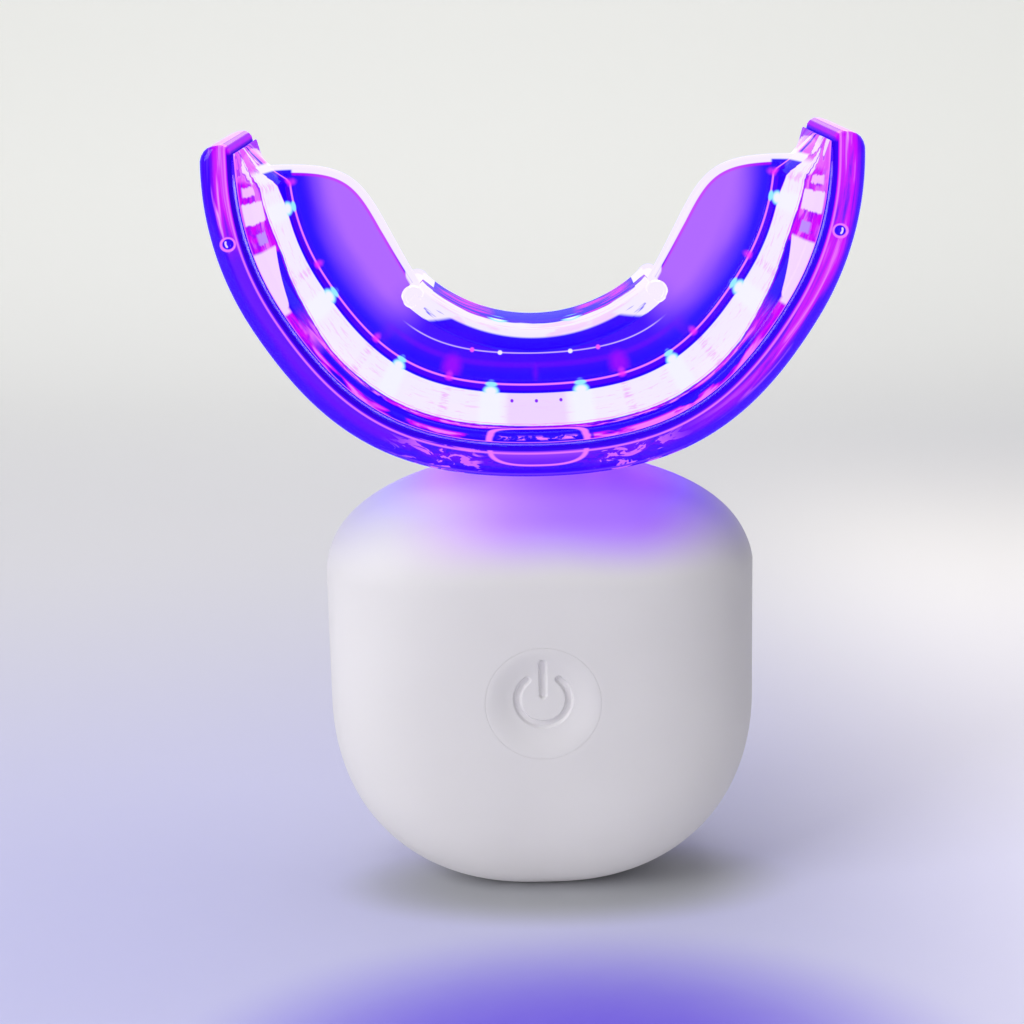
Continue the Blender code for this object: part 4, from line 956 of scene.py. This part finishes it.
def housing_white():
    """Satin white plastic, with the violet light of the mouthpiece on the dome."""
    paint = Paint("housing_white")
    place = paint.place()
    x, _, z = paint.millimetres()
    fine, drift = paint.noise(place, 1400.0, 4.0, 0.6), paint.noise(place, 50.0, 2.0)
    # Painted light: the mouthpiece's violet light on the dome, mixed into the base colour and given as
    # glow, with extra painted glow near the top where the arch shades it
    edge = z + paint.noise(place, 70.0, 1.0) * 2.0
    middle = x.stripe(-9.5, 16.5, 7.0)
    share = edge.rise(CREASE + 1.2, CREASE + 7.0) * middle * 0.86
    near_top = z.rise(CREASE + 6.0, CREASE + 11.0)
    white = paint.mix((0.79, 0.77, 0.80), (0.83, 0.81, 0.84), drift.rise(0.3, 0.7))
    violet = paint.mix((0.38, 0.11, 1.0), (0.68, 0.32, 1.0), x.rise(4.0, -12.0))
    paint.bump(fine, 0.12, 0.01)
    return paint.set(
        colour=paint.mix(white, violet, share),
        rough=fine.spread(0.3, 0.7, 0.52, 0.62),
        glow=violet,
        power=share * 0.22 + near_top * middle * 0.55,
    )


# Colours of the painted light and shade on the clear resin
DEEP = (0.017, 0.0, 1.0)
INDIGO = (0.03, 0.0, 0.45)
MAGENTA = (0.72, 0.0, 1.0)
PINK = (1.0, 0.22, 1.0)
PALE = (1.0, 0.75, 1.0)
LOBE = (0.46, 0.15, 1.0)
HOT = (1.0, 0.93, 1.0)
WARM = (1.0, 0.6, 1.0)
WHITE = (1.0, 1.0, 1.0)
CYAN = (0.35, 0.95, 1.0)


def from_light(along, first, pitch):
    """How many degrees the nearest light of a row is away along the arch."""
    turn = abs(along) + (pitch * 1.5 - first)
    return abs(turn % pitch - pitch / 2)


def clear_resin(name, glow, power, seam, through):
    """Glossy clear resin that glows in painted colours and turns matt along its seam."""
    paint = Paint(name)
    inward, tongue = paint.fields("inward", "tongue")
    clear = inward.rise(*seam)
    return paint.set(
        colour=(0.012, 0.001, 0.5),
        rough=clear.spread(0.0, 1.0, 0.6, 0.05),
        ior=1.43,
        through=clear * through,
        glow=glow(paint),
        power=power,
        specular=tongue.spread(*MATT_TONGUE, 0.0, 0.05),
    )


def painted_strip_glow(paint, along, deep):
    """Painted light: the lit back of the light strip as it shows through the band's outer face, brighter in
    spots along it.
    """
    cloud = paint.cloud((along * 0.08, deep * 0.2, 13.0), 3.0, 0.55, 0.8)
    spot = length(from_light(along, FIRST_BLUE, LIGHT_PITCH / 2) / 3.4, (deep - 4.3) / 2.2)
    return paint.layers(
        (0.09, 0.01, 1.0),
        ((0.16, 0.04, 1.0), cloud.rise(0.4, 0.65)),
        ((0.30, 0.10, 1.0), spot.rise(1.2, 0.1) * 0.7),
        ((0.05, 0.0, 0.7), deep.stripe(2.15, 2.35, 0.05) * 0.6),
        ((0.32, 0.05, 1.0), deep.stripe(7.7, 7.85, 0.06)),
    )


def band_glow(paint):
    """Painted light of the band: blue outer edge, violet and magenta inside, streaked with pink at the
    arms, with painted dark outlines along its edges.
    """
    along, inward, x, across = paint.fields("along", "inward", "sideways", "across")
    bend, deep = abs(along), abs(across)
    rosy = paint.math("MAXIMUM", along.rise(-72.0, -83.0), along.rise(24.0, 60.0))
    low, tips = bend.rise(30.0, 20.0), bend.rise(70.0, 82.0)
    streaks = paint.cloud((along * 0.05, inward * 1.5), 3.0, 0.55, 0.6)
    patches = paint.cloud((x * 0.4, inward * 1.2, 3.0), 3.0, 0.6, 1.2)
    inside = (inward + streaks * 0.6 + along.rise(54.0, 74.0) * 0.5).rise(1.25, 1.9)
    core = paint.mix((0.14, 0.0, 1.0), MAGENTA, rosy * streaks.rise(0.28, 0.5))
    bright = streaks.rise(0.52, 0.66) * inward.stripe(1.0, 2.3, 0.3)
    sheen = inward.stripe(1.9, 2.3, 0.15) * streaks.rise(0.42, 0.6)
    painted_glints = patches.rise(0.56, 0.60) * low * abs(x).rise(5.2, 6.2)
    bowl = bulge(x, NECK_HALF_WIDTH - 0.05, inward - BOWL_TOP, 1.7, 3.0)
    bowl_colour = paint.mix((0.16, 0.01, 0.75), (0.36, 0.05, 0.9), inward.rise(1.4, 2.8))
    away = (bend - math.degrees(DIMPLE_ANGLE)) * (math.pi / 180 * ARCH_HALF_WIDTH)
    dimple = length(away, inward - DIMPLE_INSET)
    return paint.layers(
        (0.05, 0.0, 0.95),
        (painted_strip_glow(paint, along, deep), inward.rise(0.22, 0.08) * deep.rise(8.1, 7.9)),
        (core, inside),
        (PINK, bright * rosy * 0.8),
        (PALE, streaks.rise(0.6, 0.7) * inward.stripe(1.2, 2.2, 0.3) * tips * 0.7),
        (MAGENTA, sheen * rosy * 0.6),
        (INDIGO, patches.rise(0.47, 0.42) * low * 0.8),
        # Painted glints: small pink specks of light low on the arch, beside the neck
        (PINK, painted_glints * 0.7),
        ((0.16, 0.03, 0.9), inward.stripe(0.3, 0.5, 0.06) * low),
        # Painted light at each dimple: a pink ring, painted shade in its hollow and a pale painted
        # highlight
        (PINK, dimple.rise(0.85, 0.72)),
        (INDIGO, dimple.rise(0.6, 0.5)),
        (PALE, length(dimple - 0.3, inward - 1.35).rise(0.16, 0.08)),
        # Painted light: the neck's outline as it shows through the band, filled violet and edged in pink
        (bowl_colour, bowl.rise(1.0, 0.94)),
        (PINK, bowl.stripe(0.9, 1.0, 0.03)),
        # Painted light and shade along the band's edges: a pink line by its inner edge, dark indigo lines
        # along its rims and tips, and violet on the tips
        (PINK, inward.stripe(2.42, 2.6, 0.06) * 0.85),
        (INDIGO, inward.rise(2.66, 2.76) * bend.rise(94.0, 93.0)),
        ((0.45, 0.03, 0.85), bend.rise(93.6, 94.4) * across.rise(-8.8, -8.2) * 0.85),
        (INDIGO, inward.rise(0.14, 0.06) * deep.rise(8.0, 8.3)),
        (INDIGO, inward.rise(0.9, 1.1) * deep.rise(9.0, 8.8) * bend.rise(94.5, 92.0)),
    )


def neck_cap(paint, x, reach):
    """Coats of painted light for the neck's upper edge as it shows through the tray's rim, in the arch's
    middle: pink along its outline and in glints.
    """
    cap = bulge(x, NECK_HALF_WIDTH, CAP_REACH - reach, 1.85, 3.5)
    glint_noise = paint.cloud((x * 0.9, reach * 2.2, 4.0), 3.0, 0.6, 1.0)
    return (
        (DEEP, cap.rise(1.0, 0.95)),
        (PINK, cap.rise(0.85, 0.75) * glint_noise.rise(0.48, 0.56) * reach.stripe(10.0, 10.35, 0.1)),
        (PINK, cap.stripe(0.9, 1.02, 0.03)),
        (INDIGO, cap.stripe(1.04, 1.1, 0.02) * 0.8),
    )


def tray_face(paint):
    """Painted light on the window's face: hot band, root dashes, and the painted facets of light and lit
    squares of the arms.
    """
    along, inward, across, x, facing = paint.fields("along", "inward", "across", "sideways", "facing")
    bend = abs(along)
    reach = abs(across) + paint.math("MAXIMUM", FACE_FOOT - inward, 0.0)
    flare_gap = from_light(along, FIRST_FLARE, FLARE_PITCH)
    red_gap = from_light(along, FIRST_RED, LIGHT_PITCH)
    broad = paint.cloud((along * 0.09, reach * 0.8, 7.0), 3.0, 0.55, 0.5)
    fine = paint.cloud((along * 0.25, reach * 2.4, 2.0), 3.0, 0.6, 0.6)
    petals = paint.cloud((along * 0.16, reach * 0.5, 11.0), 2.0, 0.5, 0.5)
    wobble = (fine - 0.5) * 1.4

    def patch(bends, reaches):
        return (bend + wobble).stripe(*bends, 0.25) * reach.stripe(*reaches, 0.12)

    # The hot band between its two edges, which close up along the arms
    limit = bend.spread(48.0, 70.0, HOT_LIMIT, 6.4) + wobble * 0.35 + bend.rise(73.0, 86.0) * 0.8
    start = bend.spread(80.0, 89.0, HOT_START, 4.3)
    within = limit - reach
    hot = within.rise(-0.1, 0.1) * (reach - start).rise(-0.1, 0.12) * bend.rise(90.0, 88.4)
    mark_gap = paint.math("MINIMUM", abs(bend - MARK_ANGLE), bend)
    hot_colour = paint.layers(
        HOT,
        (WARM, fine.rise(0.55, 0.7) * 0.6),
        ((0.94, 0.70, 1.0), bend.rise(6.8, 5.2) * 0.8),
        ((0.95, 0.35, 0.9), red_gap.rise(1.5, 0.3) * fine.rise(0.42, 0.6) * 0.55),
        (WHITE, flare_gap.rise(3.2, 1.4)),
        ((0.28, 0.02, 0.4), length(mark_gap, reach - MARK_REACH).rise(0.42, 0.25)),
        ((1.0, 0.35, 1.0), within.stripe(0.25, 0.38, 0.05) * 0.8),
    )
    # Outside it: painted light on the rim below, and on the arms a blue wedge, lit squares and petals of
    # light
    behind_wedge = reach - bend.spread(60.0, 72.5, 9.9, 7.0)
    blue_wedge = behind_wedge.rise(0.05, -0.05) * bend.stripe(53.0, 71.5, 0.5)
    petal_zone = (bend + petals * 5.0).rise(89.5, 90.6)
    petal_edges = abs(petals - 0.5).rise(0.035, 0.015) * petal_zone
    rim = paint.layers(
        DEEP,
        (MAGENTA, broad.rise(0.42, 0.56) * reach.stripe(8.6, 9.4, 0.1)),
        (PINK, fine.rise(0.42, 0.6) * reach.stripe(8.8, 9.3, 0.1)),
        (MAGENTA, broad.rise(0.44, 0.52) * reach.rise(9.95, 10.05)),
        (PINK, broad.rise(0.5, 0.6) * reach.rise(10.05, 10.2)),
        *neck_cap(paint, x, reach),
    )
    # Between it and the plate: dashes, and the lights themselves at the window's root
    root = (start - reach).rise(0.0, 0.15) * bend.rise(90.0, 89.0)
    spark = length(flare_gap / 1.7, (reach - 2.3) / 1.0)
    tip = length(flare_gap / 1.3, (reach - 1.1) / 0.35)
    ember = length(red_gap / 1.2, (reach - 1.0) / 0.6)
    lit = paint.layers(
        MAGENTA,
        ((0.40, 0.0, 0.9), fine.rise(0.52, 0.42)),
        (PINK, broad.rise(0.52, 0.62) * 0.7),
        (rim, bend.rise(54.0, 48.0)),
        (DEEP, blue_wedge * bend.rise(52.0, 60.0)),
        (PALE, behind_wedge.rise(-0.05, 0.1) * bend.stripe(59.0, 72.8, 0.4)),
        (PALE, patch((78.9, 83.4), (7.35, 10.45))),
        ((1.0, 0.55, 1.0), patch((84.9, 86.8), (8.5, 10.2))),
        ((0.55, 0.28, 0.95), patch((74.2, 76.6), (8.1, 9.8))),
        (paint.mix((0.85, 0.10, 1.0), PALE, petals.rise(0.42, 0.6)), petal_zone),
        ((0.50, 0.0, 0.75), petal_edges * 0.85),
        ((0.34, 0.0, 0.75), petal_zone * across.rise(1.0, 4.0) * 0.85),
        ((0.30, 0.0, 0.5), within.stripe(-0.28, -0.12, 0.05)),
        (hot_colour, hot),
        (DEEP, root),
        ((0.07, 0.0, 0.35), reach.stripe(1.25, 1.95, 0.1) * red_gap.rise(0.5, 1.2)),
        (PINK, reach.stripe(0.85, 1.15, 0.08)),
        ((1.0, 0.03, 0.5), ember.rise(1.3, 0.2) * 0.85),
        (CYAN, tip.rise(1.3, 0.7)),
        (CYAN, spark.rise(1.25, 0.75) * reach.rise(2.9, 2.4)),
        (WHITE, spark.rise(0.95, 0.45)),
        (HOT, bend.stripe(88.6, 90.2, 0.25) * reach.rise(4.6, 4.3)),
        (PINK, reach.rise(10.5, 10.6) * 0.9),
    )
    # Painted shade: faces turned outward, away from the arch's middle, stay dark indigo
    return paint.mix(INDIGO, lit, facing.rise(-0.5, -0.2))


def plate_glow(paint):
    """Painted light and shade on the flat plate: deep blue by the window, paler violet in the lobes, hot
    beads round them with dark painted outlines.
    """
    along, inward, free = paint.fields("along", "inward", "free_edge")
    bend = abs(along)
    flare_gap = from_light(along, FIRST_FLARE, FLARE_PITCH)
    red_gap = from_light(along, FIRST_RED, LIGHT_PITCH)
    cloud = paint.cloud((along * 0.03, inward * 0.25, 5.0), 2.0)
    calm = (inward + cloud * 2.0).rise(9.2, 13.0)
    line_gap, rows = (inward - PLATE_LINE) * 2.5, inward - PLATE_ROWS
    spark = length(flare_gap / 1.0, rows / 0.55)
    ember = length(red_gap / 1.2, rows / 0.9)
    haze = length(red_gap / 3.2, (inward - 8.7) / 1.5)
    bead = free - bend.spread(42.0, 64.0, 0.22, 0.42)
    return paint.layers(
        DEEP,
        ((0.06, 0.0, 1.0), inward.rise(8.4, 9.8) * 0.8),
        (LOBE, bend.rise(30.0, 50.0) * calm),
        ((0.14, 0.0, 0.9), inward.stripe(9.3, 9.8, 0.2) * bend.rise(44.0, 34.0) * 0.7),
        ((0.80, 0.55, 1.0), inward.stripe(10.7, 10.82, 0.05) * bend.rise(40.0, 32.0) * 0.85),
        (HOT, length(bend - 8.0, line_gap).rise(0.7, 0.4)),
        ((1.0, 0.1, 0.6), length(bend - 15.0, line_gap).rise(0.8, 0.4)),
        (INDIGO, inward.stripe(7.95, 8.1, 0.05) * 0.7),
        ((0.45, 0.0, 0.9), haze.rise(1.2, 0.2) * bend.rise(44.0, 30.0) * 0.7),
        ((1.0, 0.04, 0.6), ember.rise(1.3, 0.3) * 0.85),
        (CYAN, spark.rise(1.3, 0.7) * bend.rise(62.0, 50.0)),
        (MAGENTA, bead.rise(0.45, 0.2) * 0.6),
        ((0.12, 0.0, 0.45), bead.rise(0.24, 0.16) * bend.rise(62.0, 46.0)),
        (HOT, bead.rise(0.1, 0.0)),
    )


def wall_glow(paint):
    """Painted light on the short inner wall: a hot stripe along its top with a dark painted line at its
    edge, magenta towards its ends.
    """
    across, sideways, tongue = paint.fields("across", "sideways", "tongue")
    x = abs(sideways)
    fine = paint.cloud((sideways * 0.25, across * 0.9, 1.0), 3.0)
    streak = paint.cloud((x * 0.35, tongue * 2.2, 9.0), 2.0)
    top = tongue.rise(LINGUAL_RADIUS - 0.35, LINGUAL_RADIUS - 0.6)
    ragged = across + (fine - 0.5) * 3.0
    flare = length(x - 3.7, (across + 0.8) / 1.9)
    slant = x - (tongue + (1.2 - LINGUAL_RADIUS)) * 1.6
    ends = slant.rise(6.8, 7.4) * streak.rise(0.30, 0.38) * across.rise(-6.1, -6.3)
    return paint.layers(
        DEEP,
        (MAGENTA, x.stripe(4.5, 9.5, 0.8) * across.rise(-2.6, -1.8) * fine.rise(0.4, 0.55)),
        (paint.mix(HOT, WARM, fine.rise(0.5, 0.6) * 0.6), top * ragged.stripe(-9.0, -1.6, 0.3)),
        ((0.10, 0.0, 0.4), ragged.stripe(-1.5, -1.1, 0.1) * top * 0.8),
        (CYAN, flare.rise(1.2, 0.6) * top),
        (WHITE, flare.rise(0.7, 0.3) * top),
        (HOT, ends),
        (HOT, x.rise(10.6, 11.2)),
    )


def tray_glow(paint):
    """Puts the painted light of the window's face, the plate, the short wall and its white-hot posts
    together.
    """
    names = ("inward", "across", "tongue", "free_edge", "sideways")
    inward, across, tongue, free, sideways = paint.fields(*names)
    deep = abs(across)
    band = tongue.stripe(LINGUAL_RADIUS - 1.6, LINGUAL_RADIUS + 1.25, 0.02)
    off_plate = deep.rise(WEB_HALF + 0.05, WEB_HALF + 0.1)
    near_wall = abs(sideways).rise(LINGUAL_SPAN + 1.0, LINGUAL_SPAN + 0.8)
    return paint.layers(
        plate_glow(paint),
        (tray_face(paint), inward.rise(8.0, 7.7)),
        (wall_glow(paint), band * off_plate * near_wall),
        (HOT, free.rise(1.5, 1.4) * deep.rise(1.0, 1.1) * inward.rise(11.0, 12.0)),
    )


def strip_light():
    """The white strip, lit from its own lights."""
    paint = Paint("strip_white")
    fine = paint.noise(paint.place(), 700.0, 3.0)
    glow = paint.mix((0.5, 0.1, 1.0), (0.3, 0.05, 1.0), fine.rise(0.4, 0.6))
    colour = paint.mix((0.86, 0.80, 0.92), (0.92, 0.88, 0.96), fine)
    return paint.set(colour=colour, rough=0.45, glow=glow, power=0.3)


def lit(name, edge, core, power):
    """A lit package, with a glow between two colours."""
    paint = Paint(name)
    fine = paint.noise(paint.place(), 500.0, 2.0)
    return paint.set(colour=core, rough=0.2, glow=paint.mix(edge, core, fine.rise(0.35, 0.65)), power=power)


def copper_lines(name, colour, track):
    """Solder mask over thin raised tracks."""
    paint = Paint(name)
    place = paint.place()
    inputs = {"Vector": place, "Scale": 260.0, "Mortar Size": 0.06}
    lines = paint.node("ShaderNodeTexBrick", inputs, "Fac", offset=0.5)
    paint.bump(lines, 0.2, 0.02)
    return paint.set(
        colour=paint.mix(colour, track, lines),
        rough=paint.noise(place, 900.0, 3.0).spread(0.3, 0.7, 0.32, 0.45),
    )


def slot_materials():
    """A procedural finish for every material slot of the record but the clear resin."""
    # Colour, roughness, grain, metal, colour drift and relief, as grained() takes them
    plain = {
        "seal_grey": ((0.30, 0.30, 0.33), 0.7),
        "soft_silicone": ((0.74, 0.74, 0.78), 0.55, 500.0),
        "chip_black": ((0.03, 0.03, 0.035), 0.45, 1500.0),
        "capacitor_tan": ((0.5, 0.38, 0.24), 0.5, 1200.0),
        "switch_grey": ((0.18, 0.18, 0.2), 0.45),
        "plunger_white": ((0.78, 0.78, 0.78), 0.45),
        "led_cream": ((0.9, 0.84, 0.62), 0.25),
        "connector_cream": ((0.8, 0.76, 0.64), 0.5),
        "foam_black": ((0.045, 0.045, 0.05), 0.9, 1800.0, 0.0, 0.2, 0.1),
        "lead_red": ((0.55, 0.03, 0.03), 0.45),
        "lead_black": ((0.025, 0.025, 0.03), 0.45),
        "screw_steel": ((0.55, 0.55, 0.57), 0.3, 1500.0, 1.0),
        "cell_foil": ((0.58, 0.6, 0.63), 0.32, 400.0, 0.7),
        "port_metal": ((0.66, 0.66, 0.68), 0.28, 1200.0, 1.0),
    }
    return {
        "housing_white": housing_white(),
        "strip_white": strip_light(),
        "blue_light": lit("blue_light", (0.25, 0.6, 1.0), (0.75, 1.0, 1.0), 2.0),
        "red_light": lit("red_light", (1.0, 0.05, 0.5), (1.0, 0.45, 0.8), 1.5),
        "board_green": copper_lines("board_green", (0.015, 0.15, 0.06), (0.05, 0.28, 0.12)),
        **{name: grained(name, *finish) for name, finish in plain.items()},
    }


def dress(obj, body, node, material):
    obj.data.materials.clear()
    obj.data.materials.append(material)
    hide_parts(node)
    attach(obj, body)


def paint_nodes(materials):
    """Gives every carried-over node its slot's procedural finish."""
    for part in frame["record"]["subparts"]:
        node = frame["nodes"][part["node"]]
        material = materials.get(part["material_slot"])
        if material and not node.hide_render:
            node.data.materials.clear()
            node.data.materials.append(material)


# Stage

CAMERA_TARGET = (-2.70, 0.0, 38.93)
CAMERA_DISTANCE = 225.0
CAMERA_ELEVATION = math.radians(13.8)
CAMERA_ROLL = math.radians(-1.3)
CAMERA_LENS = 76.73
SENSOR = 36.0
CLIP = (0.01, 20.0)
STAGE_HALF_WIDTH, STAGE_TOP = 1500.0, 900.0
STAGE_BACK, STAGE_BEND = 260.0, 260.0
STAGE_STEPS = (-900.0, -300.0, -60.0, 60.0, STAGE_BACK)
WORLD_COLOUR, WORLD_STRENGTH = (0.96, 0.955, 0.98, 1.0), 0.33
LAMP_TARGET = (0, 0, 35)
LAMPS = (
    ("key", (-260, -190, 210), 220, 0.72, (1, 1, 1)),
    ("fill", (10, -330, 90), 240, 0.11, (1.0, 0.98, 0.97)),
    ("top", (0, 60, 340), 260, 0.36, (1, 1, 1)),
)


def make_camera():
    back = Vector((0, -math.cos(CAMERA_ELEVATION), math.sin(CAMERA_ELEVATION)))
    flat_right = Vector((1, 0, 0))
    flat_up = back.cross(flat_right)
    right = flat_right * math.cos(CAMERA_ROLL) + flat_up * math.sin(CAMERA_ROLL)
    up = flat_up * math.cos(CAMERA_ROLL) - flat_right * math.sin(CAMERA_ROLL)
    data = bpy.data.cameras.new("camera")
    data.lens, data.sensor_width = CAMERA_LENS, SENSOR
    data.clip_start, data.clip_end = CLIP
    camera = bpy.data.objects.new("camera", data)
    bpy.context.scene.collection.objects.link(camera)
    turn = Matrix((right, up, back)).transposed().to_4x4()
    spot = (Vector(CAMERA_TARGET) + back * CAMERA_DISTANCE) * MM
    camera.matrix_world = Matrix.Translation(spot) @ turn
    bpy.context.scene.camera = camera


def area_light(name, spot, size, energy, colour):
    data = bpy.data.lights.new(name, "AREA")
    data.shape = "RECTANGLE"
    data.size = data.size_y = size * MM
    data.energy, data.color = energy, colour
    obj = bpy.data.objects.new(name, data)
    obj.location = Vector(spot) * MM
    obj.rotation_euler = (Vector(LAMP_TARGET) - Vector(spot)).to_track_quat("-Z", "Y").to_euler()
    bpy.context.scene.collection.objects.link(obj)


def floor_material():
    """Pale lilac ground that turns neutral farther off, with a painted pool of the mouthpiece's violet
    light in front and a painted grey contact shadow under the housing.
    """
    paint = Paint("stage_floor")
    x, y, _ = paint.millimetres()

    def painted_glow_and_shadow_patch(middle_y, half_x, half_y, soft):
        away_x = ((x - 2.0) / half_x).power(2.0)
        return (away_x + ((y - middle_y) / half_y).power(2.0)).rise(*soft)

    grain = paint.noise(paint.place(), 300.0, 3.0)
    ground = paint.layers(
        (0.63, 0.63, 0.90),
        ((0.92, 0.91, 0.96), y.rise(-30.0, 150.0)),
        # Painted light: the mouthpiece's violet light falling on the floor in front
        ((0.19, 0.12, 0.84), painted_glow_and_shadow_patch(-48.0, 32.0, 26.0, (1.6, 0.0))),
        # Painted shadow: a grey contact shadow under the housing
        ((0.44, 0.45, 0.48), painted_glow_and_shadow_patch(-5.0, 21.0, 10.0, (1.5, 0.2))),
        ((0.9, 0.9, 0.9), grain * 0.04),
    )
    # Painted light, given as glow: brighter far off, and brighter on the right where the key lamp's shadow
    # falls
    lift = paint.layers(
        (0.0, 0.0, 0.0),
        ((0.36, 0.37, 0.31), y.rise(60.0, 420.0)),
        ((0.34, 0.32, 0.26), x.rise(8.0, 70.0) * y.rise(230.0, 90.0)),
    )
    rays = ("Is Camera Ray", "Is Glossy Ray", "Is Transmission Ray")
    camera, glossy, through = (paint.node("ShaderNodeLightPath", output=name) for name in rays)
    share = paint.math("MINIMUM", camera + glossy + through, 1.0)
    colour = paint.mix((0.80, 0.80, 0.82), ground, share)
    return paint.set(colour=colour, rough=0.75, specular=0.2, glow=lift, power=share)


def make_stage():
    profile = [(y, 0.0) for y in STAGE_STEPS]
    for angle in np.linspace(0, math.pi / 2, 17)[1:]:
        profile.append((STAGE_BACK + STAGE_BEND * math.sin(angle), STAGE_BEND * (1 - math.cos(angle))))
    profile.append((STAGE_BACK + STAGE_BEND, STAGE_TOP))
    points = [(x, y, z) for y, z in profile for x in (-STAGE_HALF_WIDTH, STAGE_HALF_WIDTH)]
    faces = [(2 * k, 2 * k + 1, 2 * k + 3, 2 * k + 2) for k in range(len(profile) - 1)]
    floor = make_object("stage_floor", points, faces, 80)
    floor.data.materials.append(floor_material())
    world = bpy.data.worlds.new("studio")
    world.use_nodes = True
    ground = world.node_tree.nodes["Background"]
    ground.inputs["Color"].default_value = WORLD_COLOUR
    ground.inputs["Strength"].default_value = WORLD_STRENGTH
    bpy.context.scene.world = world
    for lamp in LAMPS:
        area_light(*lamp)


def main():
    make_camera()
    materials = slot_materials()
    band = clear_resin("band_resin", band_glow, 0.85, (2.7, 2.5), 0.45)
    tray = clear_resin("tray_resin", tray_glow, 0.9, (3.75, 3.95), 0.25)
    made = [
        (make_front_shell(), ROOT, "housing_white", "front_shell"),
        (make_rear_shell(), ROOT, "housing_white", "rear_shell"),
        (make_button(), BUTTON, "housing_white", "power_button"),
        (make_cover(), COVER, "soft_silicone", "port_cover"),
        (make_strip(), ROOT, "strip_white", "led_flex_strip"),
    ]
    for place, side in (("front", -1), ("rear", 1)):
        for colour, first, row, way in (("blue", FIRST_BLUE, BLUE_ROW, 1), ("red", FIRST_RED, RED_ROW, -1)):
            lights = make_lights(f"{colour}_lights_{place}", first, row, way, side)
            made.append((lights, ROOT, f"{colour}_light", f"{colour}_leds_{place}"))
    for obj, body, slot, node in made:
        dress(obj, body, node, materials[slot])
    dress(mark(make_band()), ROOT, "outer_band", band)
    dress(mark(make_tray()), ROOT, "bite_tray", tray)
    paint_nodes(materials)
    make_stage()
    bpy.context.scene.view_settings.view_transform = "Standard"


main()
